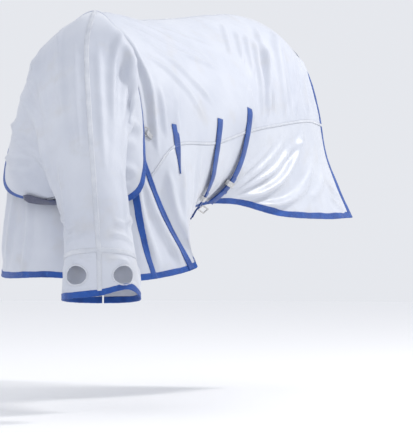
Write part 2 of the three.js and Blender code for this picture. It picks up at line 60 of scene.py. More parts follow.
HEM = 4.0
SEAM = 2.35
TAIL_U = 8.0
SHOULDER_U = 2.0
FLAP_EDGE_U = 1.3
LEFT_CHEST_U = 0.8
UNDER = 4.0
POLL = 5.0
BROW = 7.0
SIDES = (("left", 1), ("right", -1))
NEARBY = 0.02  # step in u or v between two places that give a direction


# ---- surfaces --------------------------------------------------------------------------------------
def curve_weights(f):
    """The four weights of a smooth curve through points, at share f between the middle two."""
    weights = [((2 - f) * f - 1) * f, (3 * f - 5) * f * f + 2, ((4 - 3 * f) * f + 1) * f, (f - 1) * f * f]
    return np.stack(weights, -1) / 2


class Surface:
    """A smooth surface through a net of points: columns along u, and each column's points along v."""

    def __init__(self, columns, first_u=0.0, first_v=0.0, out=1.0):
        net = np.array(columns, float)
        net = np.concatenate([2 * net[:1] - net[1:2], net, 2 * net[-1:] - net[-2:-1]], 0)
        net = np.concatenate([2 * net[:, :1] - net[:, 1:2], net, 2 * net[:, -1:] - net[:, -2:-1]], 1)
        self.net, self.first, self.out = net, (first_u, first_v), out
        self.reliefs = []

    def at(self, u, v):
        u, v = np.broadcast_arrays(np.asarray(u, float) - self.first[0], np.asarray(v, float) - self.first[1])
        i = np.clip(np.floor(u).astype(int), 0, self.net.shape[0] - 4)
        j = np.clip(np.floor(v).astype(int), 0, self.net.shape[1] - 4)
        across, down = curve_weights(u - i), curve_weights(v - j)
        point = 0.0
        for a in range(4):
            for b in range(4):
                point = point + self.net[i + a, j + b] * (across[..., a] * down[..., b])[..., None]
        return point

    def normal(self, u, v, step=0.01):
        along = self.at(u + step, v) - self.at(u - step, v)
        down = self.at(u, v + step) - self.at(u, v - step)
        normal = np.cross(along, down)
        return self.out * normal / np.linalg.norm(normal, axis=-1, keepdims=True)

    def reach_u(self, u, v, step=0.02):
        """Metres for one unit of u."""
        return np.linalg.norm(self.at(u + step, v) - self.at(u - step, v), axis=-1) / (2 * step)

    def reach_v(self, u, v, step=0.02):
        """Metres for one unit of v."""
        return np.linalg.norm(self.at(u, v + step) - self.at(u, v - step), axis=-1) / (2 * step)

    def relief(self, base):
        """Height of the folds over the smooth surface, at points on it."""
        total = np.zeros(np.shape(base)[:-1])
        for rule in self.reliefs:
            total = total + rule(base)
        return total

    def laid(self, u, v, height):
        """Points of a cloth that follows the folds, at a height above the smooth surface."""
        base = self.at(u, v)
        return base + self.normal(u, v) * (height + self.relief(base))[..., None]


def unit(x):
    return x / np.linalg.norm(x, axis=-1, keepdims=True)


def frame_at(surface, u, v):
    """Directions at one place: along u, across it, and out of the surface."""
    normal = surface.normal(u, v)
    y = unit(np.cross(normal, surface.at(u + NEARBY, v) - surface.at(u - NEARBY, v)))
    return np.cross(y, normal), y, normal


def mirrored(point):
    return [-point[0], point[1], point[2]]


def beyond(near, far):
    return [2 * a - b for a, b in zip(near, far)]


# One column of five points at each station, from the neckline or spine to the hem. Across is a share
# of the half width, along of the back's length, and down of the drop.
BODY_STATIONS = {
    "chest": [
        [0, -0.247, 0.5], [0, -0.288, 0.62], [0, -0.303, 0.76], [0, -0.31, 0.91], [0, -0.312, 1.02],
    ],
    "breast": [
        [0.4, -0.215, 0.39], [0.66, -0.22, 0.52], [0.74, -0.2, 0.68], [0.8, -0.205, 0.86], [0.87, -0.2, 1.035],
    ],
    "shoulder": [
        [0.36, -0.115, 0.17], [0.67, -0.115, 0.35], [0.84, -0.111, 0.56], [1.01, -0.06, 0.77], [1.23, 0.02, 1],
    ],
    "girth": [
        [0, -0.02, 0.012], [0.66, 0, 0.2], [0.93, 0.008, 0.43], [1.1, 0.018, 0.69], [1.13, 0.037, 0.94],
    ],
    "barrel": [
        [0, 0.245, 0.044], [0.68, 0.247, 0.19], [1, 0.258, 0.43], [0.89, 0.28, 0.68], [0.51, 0.31, 0.8],
    ],
    "flank": [
        [0, 0.48, 0.05], [0.66, 0.48, 0.185], [1, 0.48, 0.41], [0.93, 0.48, 0.62], [0.74, 0.472, 0.775],
    ],
    "stifle": [
        [0, 0.686, 0.045], [0.66, 0.686, 0.16], [0.985, 0.694, 0.39], [1.03, 0.686, 0.62], [1.06, 0.664, 0.835],
    ],
    "hip": [
        [0, 0.87, 0.055], [0.64, 0.878, 0.16], [0.89, 0.893, 0.39], [1.015, 0.893, 0.62], [1.185, 0.893, 0.86],
    ],
    "tail": [
        [0.06, 1, 0.105], [0.56, 1.037, 0.245], [0.76, 1.048, 0.43], [0.875, 1.055, 0.63], [1.23, 1.048, 0.865],
    ],
}
GIRTH = list(BODY_STATIONS).index("girth")


def body_surface():
    half = []
    for station, rows in enumerate(BODY_STATIONS.values()):
        points = [[a * HALF_WIDTH, b * BACK_LENGTH, -c * DROP] for a, b, c in rows]
        half.append([mirrored(points[1]) if station >= GIRTH else beyond(points[0], points[1]), *points])
    other = [[mirrored(point) for point in column] for column in reversed(half[1:])]
    return Surface(other + half, -TAIL_U, -1, -1)


# Rings of the neck cover from its loose rear edge to the hood's front edge, in metres and degrees.
REAR_RING = {
    "crest": [0, -0.034, 0.004],
    "left": [[0.194, -0.12, -0.196], [0.29, -0.184, -0.492], [0.296, -0.288, -0.712]],
    "under": [0, -0.46, -0.722],
    "right": [[-0.252, -0.318, -0.672], [-0.262, -0.192, -0.43], [-0.19, -0.12, -0.182]],
}
NECK_RINGS = [
    # crest, under, half width, turn, sweep, roundness of the underside
    ([0.046, -0.152, -0.022], [0.046, -0.482, -0.704], 0.244, 4, 0.035, 0.7),
    ([0.085, -0.275, -0.13], [0.14, -0.48, -0.69], 0.18, 18, 0.015, 0.85),
    ([0.215, -0.5, -0.385], [0.18, -0.51, -0.735], 0.15, 23, 0, 1),
    ([0.325, -0.67, -0.65], [0.245, -0.5, -0.85], 0.13, 27, 0, 1),
    ([0.38, -0.74, -0.89], [0.285, -0.535, -0.96], 0.136, 30, 0, 1),
    ([0.388, -0.75, -0.985], [0.292, -0.535, -1.03], 0.148, 31, 0, 1),
    ([0.392, -0.755, -1.07], [0.3, -0.55, -1.105], HOOD_HALF_WIDTH, 31, 0, 1),
]
NECK_ROWS = np.arange(-6, 7)
ARCH_RISE, ARCH_ROW, ARCH_SPREAD = 0.034, 0.95, 0.75  # the brow edge rises over the left eye


def neck_surface():
    loop = [REAR_RING["crest"], *REAR_RING["left"], REAR_RING["under"], *REAR_RING["right"]]
    columns = [[loop[row % len(loop)] for row in NECK_ROWS]]
    for crest, under, half, turn, sweep, roundness in NECK_RINGS:
        crest, under = np.array(crest), np.array(under)
        middle = (crest + under) / 2
        aside = np.array([math.cos(math.radians(turn)), math.sin(math.radians(turn)), 0])
        column = []
        for row in NECK_ROWS:
            c, s = math.cos(row / UNDER * math.pi), math.sin(row / UNDER * math.pi)
            reach = math.copysign(abs(s) ** (roundness if c < -0.01 else 1), s)
            lean = np.array([0, sweep * s * s * (1 - 0.45 * c), 0])
            column.append(middle + (crest - middle) * c + aside * half * reach + lean)
        columns.append(column)
    for row, point in zip(NECK_ROWS, columns[-1]):
        point[2] += ARCH_RISE * math.exp(-(((row - ARCH_ROW) / ARCH_SPREAD) ** 2))
    return Surface(columns, 0, NECK_ROWS[0])


def belly_surface():
    columns = []
    for along, rise in ((0.19, 0.006), (0.415, 0.0), (0.64, 0.006)):
        edge, middle = rise - 0.758, rise - 0.778
        columns.append([[-0.132, along, edge], [-0.002, along, middle], [0.128, along, edge]])
    return Surface(columns)


def tail_surface():
    top, low, half = -0.112, -0.572, 0.215
    columns = []
    for s in (-1, -0.5, 0, 0.5, 1):
        columns.append([
            [s * 0.07, BACK_LENGTH - 0.002, top - 0.016 * abs(s)],
            [s * 0.72 * half, BACK_LENGTH + 0.088, top - 0.12],
            [s * 0.9 * half, BACK_LENGTH + 0.108, top - 0.29],
            [s * half, BACK_LENGTH + 0.116, low],
        ])
    return Surface(columns)


body = body_surface()
neck = neck_surface()
belly = belly_surface()
tail = tail_surface()


# ---- folds -----------------------------------------------------------------------------------------
def smooth(x, low, high):
    t = np.clip((x - low) / (high - low), 0, 1)
    return t * t * (3 - 2 * t)


SWELLS = 7  # laid over each other


def waves(base, length, seed):
    """A gentle unevenness between -1 and 1 with swells of about the given length, fixed by its seed."""
    rng = np.random.default_rng(seed)
    total = np.zeros(base.shape[:-1])
    for _ in range(SWELLS):
        direction = rng.normal(size=3)
        direction *= 2 * math.pi / (length * rng.uniform(0.7, 1.6) * np.linalg.norm(direction))
        total += np.sin(base @ direction + rng.uniform(0, 2 * math.pi))
    return total / math.sqrt(SWELLS) / 1.6


FOLD_END = 0.25  # share of a fold's length over which it dies away at each end


def fold_rule(surface, places, height, width):
    """A ridge along a line of (u, v) places."""
    places = np.array(places, float)
    knots = np.arange(len(places))
    fine = np.linspace(0, len(places) - 1, 6 * (len(places) - 1) + 1)
    line = surface.at(np.interp(fine, knots, places[:, 0]), np.interp(fine, knots, places[:, 1]))
    line[1:-1] = (line[:-2] + 2 * line[1:-1] + line[2:]) / 4
    steps = np.linalg.norm(np.diff(line, axis=0), axis=1)
    along = np.concatenate([[0], np.cumsum(steps)]) / steps.sum()
    low, high = line.min(0) - 4 * width, line.max(0) + 4 * width

    def rule(base):
        flat = base.reshape(-1, 3)
        near = np.flatnonzero(np.all((flat > low) & (flat < high), axis=1))
        total = np.zeros(len(flat))
        if len(near):
            points = flat[near]
            best = np.full(len(near), np.inf)
            share = np.zeros(len(near))
            for k in range(len(line) - 1):
                step = line[k + 1] - line[k]
                t = np.clip((points - line[k]) @ step / (step @ step), 0, 1)
                gap = np.linalg.norm(points - line[k] - t[:, None] * step, axis=1)
                closer = gap < best
                best = np.where(closer, gap, best)
                share = np.where(closer, along[k] + t * (along[k + 1] - along[k]), share)
            # The ridge narrows towards its ends, and a shallow trough lies on each side of it.
            taper = smooth(share, 0, FOLD_END) * (1 - smooth(share, 1 - FOLD_END, 1))
            spread = width * (0.55 + 0.45 * taper)
            crest = np.exp(-((best / spread) ** 2))
            trough = 0.42 * np.exp(-((best / (2.1 * spread)) ** 2))
            total[near] = height * taper * (crest - trough) / 0.58
        return total.reshape(base.shape[:-1])

    return rule


FOLD_FULLNESS = 1.75  # all folds' heights are scaled by this
FOLD_SEED = 11
BODY_WANDER = 0.09  # how far a fold on the right side may move in u and v
NECK_WANDER = 0.1

# Each fold is a list of (u, v) places, a height and a width.
LEFT_BODY_FOLDS = [
    # tension lines that fan out from the withers
    ([(3.25, 0.05), (3.6, 0.35), (4.0, 0.68), (4.55, 1.12)], 0.0045, 0.013),
    ([(3.05, 0.3), (3.5, 0.62), (4.0, 0.95), (4.7, 1.3)], 0.005, 0.014),
    ([(3.2, 0.62), (3.55, 1.05), (3.86, 1.5), (4.1, 1.85)], 0.0055, 0.014),
    ([(3.0, 0.75), (3.35, 1.2), (3.62, 1.62), (3.8, 2.05)], 0.0045, 0.013),
    ([(3.7, 0.2), (4.3, 0.55), (5.0, 0.95)], 0.003, 0.014),
    # the shoulder, where the sheet hangs from the withers in front of the girth
    ([(3.02, 0.35), (2.82, 0.9), (2.7, 1.45), (2.48, 2.05), (2.42, 2.3)], 0.008, 0.019),
    ([(2.72, 0.4), (2.5, 0.85), (2.3, 1.3), (2.22, 1.75)], 0.005, 0.015),
    ([(3.0, 1.35), (2.92, 1.75), (2.8, 2.2)], 0.0045, 0.015),
    ([(3.35, 1.5), (3.2, 1.9), (3.12, 2.3)], 0.0035, 0.015),
    # loose cloth over the loin and croup
    ([(5.78, 0.4), (5.4, 0.75), (5.05, 1.15)], 0.0045, 0.013),
    ([(5.85, 0.62), (5.55, 0.95), (5.28, 1.3)], 0.005, 0.013),
    ([(6.02, 0.72), (5.66, 1.1), (5.4, 1.55)], 0.006, 0.014),
    ([(6.15, 0.82), (5.72, 1.3), (5.42, 1.9), (5.35, 2.2)], 0.0085, 0.016),
    ([(6.3, 0.95), (5.86, 1.45), (5.56, 2.05), (5.45, 2.3)], 0.0095, 0.017),
    ([(6.9, 0.75), (6.5, 1.2), (6.2, 1.75), (6.02, 2.28)], 0.011, 0.024),
    ([(7.2, 1.0), (6.85, 1.5), (6.55, 2.1), (6.45, 2.3)], 0.007, 0.018),
    ([(7.4, 1.25), (7.15, 1.75), (7.02, 2.3)], 0.006, 0.018),
    ([(7.75, 0.9), (7.62, 1.5), (7.55, 2.2)], 0.005, 0.02),
    ([(5.2, 1.55), (5.1, 1.95), (5.12, 2.28)], 0.0035, 0.014),
    # swooshes that run from the tucked belly up over the stifle
    ([(4.85, 3.7), (5.25, 3.3), (5.75, 2.85), (6.1, 2.5)], 0.008, 0.015),
    ([(5.0, 3.9), (5.5, 3.68), (6.0, 3.3), (6.45, 2.85), (6.7, 2.42)], 0.012, 0.02),
    ([(4.78, 3.5), (5.05, 3.2), (5.4, 2.9), (5.7, 2.62)], 0.006, 0.013),
    ([(5.35, 3.95), (6.0, 3.78), (6.6, 3.4), (7.1, 2.9)], 0.007, 0.02),
    ([(6.6, 3.7), (7.1, 3.45), (7.5, 3.05)], 0.005, 0.017),
    ([(4.45, 3.95), (4.62, 3.6), (4.75, 3.25)], 0.006, 0.013),
    ([(4.2, 3.95), (4.32, 3.5), (4.4, 3.0)], 0.004, 0.014),
    # the skirt behind the elbow
    ([(3.15, 2.45), (3.0, 2.9), (2.82, 3.4), (2.75, 3.9)], 0.006, 0.018),
    ([(3.62, 2.45), (3.52, 2.9), (3.5, 3.4), (3.6, 3.9)], 0.006, 0.017),
    ([(2.6, 2.5), (2.4, 3.0), (2.3, 3.6)], 0.006, 0.02),
    ([(3.95, 2.7), (3.95, 3.2), (4.0, 3.7)], 0.004, 0.016),
    # long drapes over the croup and down the quarter
    ([(6.6, 0.55), (6.15, 1.0), (5.85, 1.6), (5.7, 2.25)], 0.008, 0.017),
    ([(7.05, 0.6), (6.72, 1.1), (6.42, 1.7), (6.3, 2.28)], 0.007, 0.018),
    # fine swooshes above the hem behind the belly
    ([(5.1, 3.95), (5.75, 3.85), (6.4, 3.62), (6.9, 3.3)], 0.006, 0.013),
    ([(4.95, 3.8), (5.3, 3.5), (5.85, 3.1), (6.3, 2.65)], 0.008, 0.014),
    ([(5.9, 3.0), (6.35, 2.75), (6.8, 2.6)], 0.005, 0.015),
    # small wrinkles by the rear corner of the hem
    ([(7.35, 3.35), (7.6, 3.6), (7.85, 3.7)], 0.004, 0.01),
    ([(7.3, 3.6), (7.55, 3.8), (7.85, 3.9)], 0.004, 0.01),
    # the apron
    ([(1.75, 2.1), (1.72, 2.8), (1.8, 3.6), (1.8, 4.0)], 0.008, 0.022),
    ([(1.3, 1.2), (1.4, 2.0), (1.38, 2.9), (1.42, 4.0)], 0.008, 0.024),
    ([(0.85, 0.8), (0.95, 1.8), (0.92, 2.8), (0.98, 4.0)], 0.007, 0.022),
    ([(0.4, 0.6), (0.5, 1.6), (0.45, 2.6), (0.5, 4.0)], 0.006, 0.022),
    ([(1.9, 0.6), (1.6, 1.1), (1.2, 1.4)], 0.005, 0.016),
]
NECK_FOLDS = [
    # slack cloth that runs down from the withers to the rear edge
    ([(0.1, 0.35), (0.5, 0.9), (1.0, 1.3), (1.8, 1.7)], 0.006, 0.022),
    ([(0.15, 0.85), (0.6, 1.35), (1.2, 1.75), (2.1, 1.85)], 0.007, 0.02),
    ([(0.2, 2.05), (0.7, 2.15), (1.3, 2.3), (2.2, 2.35)], 0.007, 0.02),
    ([(0.15, 2.6), (0.6, 2.75), (1.2, 2.9), (2.0, 2.85)], 0.006, 0.018),
    # creases where the cover bends behind the poll
    ([(4.2, 1.8), (4.45, 1.2), (4.5, 0.5)], 0.004, 0.011),
    ([(3.9, 2.4), (4.25, 1.9), (4.4, 1.3)], 0.0045, 0.012),
    ([(0.35, 0.5), (1.0, 0.75), (2.0, 0.85), (3.0, 0.9)], 0.005, 0.018),
    ([(0.4, 1.1), (1.0, 1.3), (1.9, 1.45), (2.8, 1.5)], 0.006, 0.02),
    ([(0.3, 1.7), (0.9, 1.85), (1.7, 2.0), (2.7, 2.1), (3.5, 2.0)], 0.006, 0.02),
    ([(0.35, 2.3), (1.0, 2.5), (1.8, 2.65), (2.6, 2.7)], 0.006, 0.018),
    ([(0.3, 2.9), (0.9, 3.1), (1.5, 3.2)], 0.005, 0.018),
    ([(1.6, 0.3), (2.6, 0.4), (3.8, 0.45)], 0.003, 0.016),
    ([(3.3, 1.3), (4.0, 1.4), (4.7, 1.35)], 0.004, 0.014),
    ([(3.6, 2.2), (4.1, 2.5), (4.6, 2.55)], 0.005, 0.013),
    ([(3.2, 2.9), (3.6, 3.0), (4.2, 3.1)], 0.004, 0.013),
    ([(4.72, 0.25), (4.66, 1.0), (4.75, 1.9)], 0.0035, 0.009),
    ([(5.3, 1.9), (5.8, 2.2), (6.4, 2.3)], 0.0035, 0.012),
    ([(5.25, 0.25), (5.2, 0.7), (5.3, 1.3)], 0.003, 0.009),
    ([(6.5, 0.3), (6.45, 0.9), (6.5, 1.6)], 0.0025, 0.012),
]
TAIL_FOLDS = [
    ([(1.2, 0.2), (1.1, 1.4), (1.15, 3.0)], 0.007, 0.02),
    ([(2.05, 0.1), (2.0, 1.5), (2.1, 3.0)], 0.006, 0.022),
    ([(2.9, 0.2), (2.95, 1.4), (2.85, 3.0)], 0.007, 0.02),
    ([(0.5, 0.6), (0.45, 1.8), (0.5, 3.0)], 0.004, 0.018),
]
BELLY_FOLDS = [
    ([(0.5, 0.1), (0.6, 1.0), (0.5, 1.9)], 0.003, 0.02),
    ([(1.3, 0.1), (1.2, 1.0), (1.35, 1.9)], 0.003, 0.02),
]


def add_folds(surface, folds, sign=1, wander=0.0):
    """Folds on the left side, or mirrored to the right one and moved a little by chance."""
    rng = np.random.default_rng(FOLD_SEED)
    mirror = (sign, 1) if surface is body else (1, sign)
    for places, height, width in folds:
        shift = rng.uniform(-wander, wander, 2)
        moved = [((u + shift[0]) * mirror[0], (v + shift[1]) * mirror[1]) for u, v in places]
        surface.reliefs.append(fold_rule(surface, moved, FOLD_FULLNESS * height, width))


add_folds(body, LEFT_BODY_FOLDS)
add_folds(body, LEFT_BODY_FOLDS, -1, BODY_WANDER)
add_folds(neck, NECK_FOLDS)
add_folds(neck, NECK_FOLDS, -1, NECK_WANDER)
add_folds(tail, TAIL_FOLDS)
add_folds(belly, BELLY_FOLDS)


def add_swells(surface, *swells):
    """Uneven cloth between the folds: each swell has a height, a length and a seed."""
    surface.reliefs.append(
        lambda base: sum(height * waves(base, length, seed) for height, length, seed in swells))


add_swells(body, (0.0018, 0.16, 3), (0.0007, 0.05, 5))
add_swells(neck, (0.0014, 0.14, 7), (0.0006, 0.045, 8))
add_swells(tail, (0.002, 0.15, 9))
add_swells(belly, (0.001, 0.12, 10))


# ---- meshes ----------------------------------------------------------------------------------------
class Build:
    """Points, faces, places on the cloth in metres, and material numbers, gathered into one object."""

    def __init__(self):
        self.points, self.faces, self.flat, self.kinds = [], [], [], []
        self.count = 0

    def add(self, points, faces, flat, kind=0):
        """Adds closed meshes; faces turn outwards as a whole."""
        points = np.asarray(points, float).reshape(-1, 3)
        faces = [list(face) for face in faces]
        volume = 0.0
        by_size = {}
        for face in faces:
            by_size.setdefault(len(face), []).append(face)
        for size, group in by_size.items():
            corner = points[np.array(group)]
            for k in range(1, size - 1):
                volume += (corner[:, 0] * np.cross(corner[:, k], corner[:, k + 1])).sum()
        if volume < 0:
            faces = [face[::-1] for face in faces]
        self.points.append(points)
        self.flat.append(np.asarray(flat, float).reshape(-1, 2))
        self.faces += [[index + self.count for index in face] for face in faces]
        self.kinds += [kind] * len(faces)
        self.count += len(points)

    def made(self, name, *materials):
        mesh = bpy.data.meshes.new(name)
        mesh.from_pydata(np.concatenate(self.points).tolist(), [], self.faces)
        corners = np.zeros(len(mesh.loops), np.int32)
        mesh.loops.foreach_get("vertex_index", corners)
        layer = mesh.uv_layers.new(name="UVMap")
        layer.data.foreach_set("uv", np.concatenate(self.flat)[corners].astype(np.float32).ravel())
        mesh.polygons.foreach_set("material_index", np.array(self.kinds, np.int32))
        mesh.polygons.foreach_set("use_smooth", np.ones(len(mesh.polygons), bool))
        for material in materials:
            mesh.materials.append(material)
        mesh.validate()
        mesh.update()
        made = bpy.data.objects.new(name, mesh)
        bpy.context.scene.collection.objects.link(made)
        return made


def grid_quads(rows, columns):
    first = (np.arange(rows - 1)[:, None] * columns + np.arange(columns - 1)).ravel()
    return np.stack([first, first + columns, first + columns + 1, first + 1], 1)


def thickened(points, faces, normals, thickness):
    """A sheet given both its faces and a rim along every open edge."""
    count = len(points)
    both = np.concatenate([points + normals * thickness / 2, points - normals * thickness / 2])
    edges = np.stack([faces, np.roll(faces, -1, axis=1)], -1).reshape(-1, 2)
    keys, reverse = edges[:, 0] * count + edges[:, 1], edges[:, 1] * count + edges[:, 0]
    rim = edges[~np.isin(keys, reverse)]
    rims = np.stack([rim[:, 1], rim[:, 0], rim[:, 0] + count, rim[:, 1] + count], 1)
    return both, np.concatenate([faces, faces[:, ::-1] + count, rims])


def loft(build, rings, flat, closed=False):
    """A tube through rings of points, capped at its ends unless it closes on itself."""
    rings = np.asarray(rings, float)
    count, around = rings.shape[:2]
    faces = []
    for i in range(count if closed else count - 1):
        for k in range(around):
            here, there = i * around, (i + 1) % count * around
            faces.append([here + k, here + (k + 1) % around, there + (k + 1) % around, there + k])
    if not closed:
        faces.append(list(range(around))[::-1])
        faces.append([(count - 1) * around + k for k in range(around)])
    build.add(rings, faces, flat)


def stitch_row(build, line, normals, pitch=0.0055, length=0.0038, width=0.0011):
    """Short raised stitches along a line, each one a small closed lozenge of thread."""
    line, normals = np.asarray(line, float), np.asarray(normals, float)
    reach = np.concatenate([[0], np.cumsum(np.linalg.norm(np.diff(line, axis=0), axis=1))])
    count = int(reach[-1] / pitch)
    if count < 1:
        return
    middle = (np.arange(count) + 0.5) * pitch
    at = np.stack([np.interp(middle, reach, line[:, k]) for k in range(3)], 1)
    ahead = np.stack([np.interp(middle + pitch / 4, reach, line[:, k]) for k in range(3)], 1) - at
    ahead /= np.maximum(np.linalg.norm(ahead, axis=1, keepdims=True), 1e-9)
    up = np.stack([np.interp(middle, reach, normals[:, k]) for k in range(3)], 1)
    aside = np.cross(ahead, up)
    ends, sides = ahead * length / 2, aside * width / 2
    corners = [ends, sides, -ends, -sides, up * 0.0006, -up * 0.0005]
    points = np.stack([at + corner for corner in corners], 1)
    shape = np.array([[0, 1, 4], [1, 2, 4], [2, 3, 4], [3, 0, 4], [1, 0, 5], [2, 1, 5], [3, 2, 5], [0, 3, 5]])
    faces = (shape[None] + 6 * np.arange(count)[:, None, None]).reshape(-1, 3)
    build.add(points, faces, np.zeros((6 * count, 2)), 1)


def steps_for(length, size):
    return max(3, int(round(length / size)) + 1)


def cloth_grid(surface, u_range, v_range, size, lift):
    """Places, points, normals and flat places of a grid of cloth. v_range may be a function of u."""
    rows = v_range if callable(v_range) else lambda u: (u * 0 + v_range[0], u * 0 + v_range[1])
    middle_u = (u_range[0] + u_range[1]) / 2
    low, high = rows(np.array(middle_u))
    middle_v = (low + high) / 2
    across = np.linspace(*u_range, 30)
    down = np.linspace(low, high, 30)
    length_u = np.linalg.norm(np.diff(surface.at(across, middle_v), axis=0), axis=1).sum()
    length_v = np.linalg.norm(np.diff(surface.at(middle_u, down), axis=0), axis=1).sum()
    nu, nv = steps_for(length_u, size), steps_for(length_v, size)
    u = np.broadcast_to(np.linspace(*u_range, nu)[:, None], (nu, nv))
    low, high = rows(u[:, :1])
    v = low + (high - low) * np.linspace(0, 1, nv)
    points = surface.laid(u, v, lift(u, v) + CLOTH_LIFT)
    flat_u, flat_v = np.linspace(0, length_u, nu), np.linspace(0, length_v, nv)
    flat = np.stack(np.meshgrid(flat_u, flat_v, indexing="ij"), -1)
    return u, v, points, surface.normal(u, v), flat


def no_lift(u, v):
    return np.zeros(np.broadcast(u, v).shape)


def cut_size(surface, u, v, hole_area):
    flat = surface.at(u, v)
    width = np.linalg.norm(np.diff(flat, axis=0), axis=2).sum(0).mean()
    length = np.linalg.norm(np.diff(flat, axis=1), axis=2).sum(1).max()
    cells = np.cross(flat[1:, 1:] - flat[:-1, :-1], flat[1:, :-1] - flat[:-1, 1:])
    return float(width), float(length), float(np.linalg.norm(cells, axis=2).sum() / 2 - hole_area)


def cloth(name, surface, u_range, v_range, material, size=0.009, lift=no_lift, hole=None):
    """A cloth with both faces and a rim. hole is an ellipse: its centre, two axes and half sizes."""
    u, v, points, normals, flat = cloth_grid(surface, u_range, v_range, size, lift)
    cut_size(surface, u, v, math.pi * hole[3] * hole[4] if hole else 0.0)
    faces = grid_quads(*u.shape)
    points, normals, flat = points.reshape(-1, 3), normals.reshape(-1, 3), flat.reshape(-1, 2)
    if hole:
        points, faces = cut_hole(points, faces, *hole)
        used = np.unique(faces)
        renumber = np.zeros(len(points), int)
        renumber[used] = np.arange(len(used))
        points, normals, flat, faces = points[used], normals[used], flat[used], renumber[faces]
    both, all_faces = thickened(points, faces, normals, CLOTH_THICK)
    build = Build()
    build.add(both, all_faces, np.concatenate([flat, flat]))
    return build.made(name, material)


def cut_hole(points, faces, centre, axis_x, axis_y, half_x, half_y):
    """Removes the faces inside an ellipse and draws its edge points out to the ellipse."""
    x, y = (points - centre) @ axis_x / half_x, (points - centre) @ axis_y / half_y
    share = np.maximum(np.hypot(x, y), 1e-6)
    near = np.linalg.norm(points - centre, axis=1) < 3 * max(half_x, half_y)
    inside = (share < 1) & near
    kept = faces[~np.all(inside[faces], axis=1)]
    move = inside & (share > 0.2)
    step = (1 / share - 1)[:, None] * (x[:, None] * half_x * axis_x + y[:, None] * half_y * axis_y)
    return np.where(move[:, None], points + step, points), kept


# ---- materials -------------------------------------------------------------------------------------
class Nodes:
    """A material's node tree, with short calls to add and join nodes."""

    def __init__(self, name):
        self.material = bpy.data.materials.new(name)
        self.material.use_nodes = True
        self.tree = self.material.node_tree
        self.shader = self.tree.nodes["Principled BSDF"]

    def node(self, kind, **inputs):
        made = self.tree.nodes.new(kind)
        for key, value in inputs.items():
            socket = made.inputs[key.replace("_", " ")]
            if isinstance(value, bpy.types.NodeSocket):
                self.tree.links.new(value, socket)
            else:
                socket.default_value = value
        return made

    def join(self, out, socket):
        self.tree.links.new(out, self.shader.inputs[socket])

    def set(self, **values):
        for key, value in values.items():
            self.shader.inputs[key.replace("_", " ")].default_value = value

    def ramp(self, factor, low, high, low_at=0.3, high_at=0.7):
        """A colour that goes from low to high as factor goes from low_at to high_at."""
        made = self.node("ShaderNodeValToRGB", Fac=factor)
        made.color_ramp.elements[0].position = low_at
        made.color_ramp.elements[1].position = high_at
        made.color_ramp.elements[0].color = (*low, 1)
        made.color_ramp.elements[1].color = (*high, 1)
        return made.outputs["Color"]

    def math(self, operation, a, b):
        made = self.tree.nodes.new("ShaderNodeMath")
        made.operation = operation
        for socket, value in zip(made.inputs, (a, b)):
            if isinstance(value, bpy.types.NodeSocket):
                self.tree.links.new(value, socket)
            else:
                socket.default_value = value
        return made.outputs[0]

    def wave(self, vector, scale, direction, distortion=0.0):
        made = self.node("ShaderNodeTexWave", Vector=vector, Scale=scale, Distortion=distortion)
        made.bands_direction = direction
        return made.outputs["Fac"]

    def noise(self, vector, scale, detail=3.0):
        return self.node("ShaderNodeTexNoise", Vector=vector, Scale=scale, Detail=detail).outputs["Fac"]

    def over(self, share, below, above):
        """The colour above, mixed over the one below by a share."""
        mixed = self.tree.nodes.new("ShaderNodeMix")
        mixed.data_type = "RGBA"
        self.tree.links.new(share, mixed.inputs["Factor"])
        self.tree.links.new(below, mixed.inputs[6])
        mixed.inputs[7].default_value = (*above, 1)
        return mixed.outputs[2]

    def uneven_roughness(self, factor, low, high):
        spread = self.node("ShaderNodeMapRange", Value=factor)
        spread.inputs["To Min"].default_value = low
        spread.inputs["To Max"].default_value = high
        self.join(spread.outputs["Result"], "Roughness")

    def bump(self, height, strength, distance):
        made = self.node("ShaderNodeBump", Height=height, Strength=strength, Distance=distance)
        self.join(made.outputs["Normal"], "Normal")


WAVE_PER_METRE = 1 / 20  # a wave texture's scale that makes one band a metre, over 2 pi / 20


SOIL = (0.555, 0.56, 0.585)


def woven(name, low, high, roughness, sheen, pitch=0.0011, weave=0.22, crinkle=0.25):
    """Cloth: threads both ways, soft crinkles, uneven colour, sheen and a little dust in blotches."""
    made = Nodes(name)
    place = made.node("ShaderNodeTexCoord")
    cloth_place, solid_place = place.outputs["UV"], place.outputs["Object"]
    scale = 2 * math.pi * WAVE_PER_METRE / pitch
    warp, weft = made.wave(cloth_place, scale, "X"), made.wave(cloth_place, scale, "Y")
    threads = made.math("MULTIPLY", made.math("MAXIMUM", warp, weft), weave)
    crinkles = made.math("MULTIPLY", made.noise(solid_place, 38.0, 5.0), crinkle)
    made.bump(made.math("ADD", threads, crinkles), 0.35, 0.0016)
    patches = made.noise(solid_place, 3.2, 4.0)
    dust = made.ramp(made.noise(solid_place, 9.0, 6.0), (0, 0, 0), (1, 1, 1), 0.56, 0.86)
    made.join(made.over(dust, made.ramp(patches, low, high), SOIL), "Base Color")
    made.uneven_roughness(made.noise(solid_place, 14.0, 3.0), roughness - 0.06, roughness + 0.08)
    made.set(Sheen_Weight=sheen, Sheen_Roughness=0.4, Specular_IOR_Level=0.4)
    return made.material


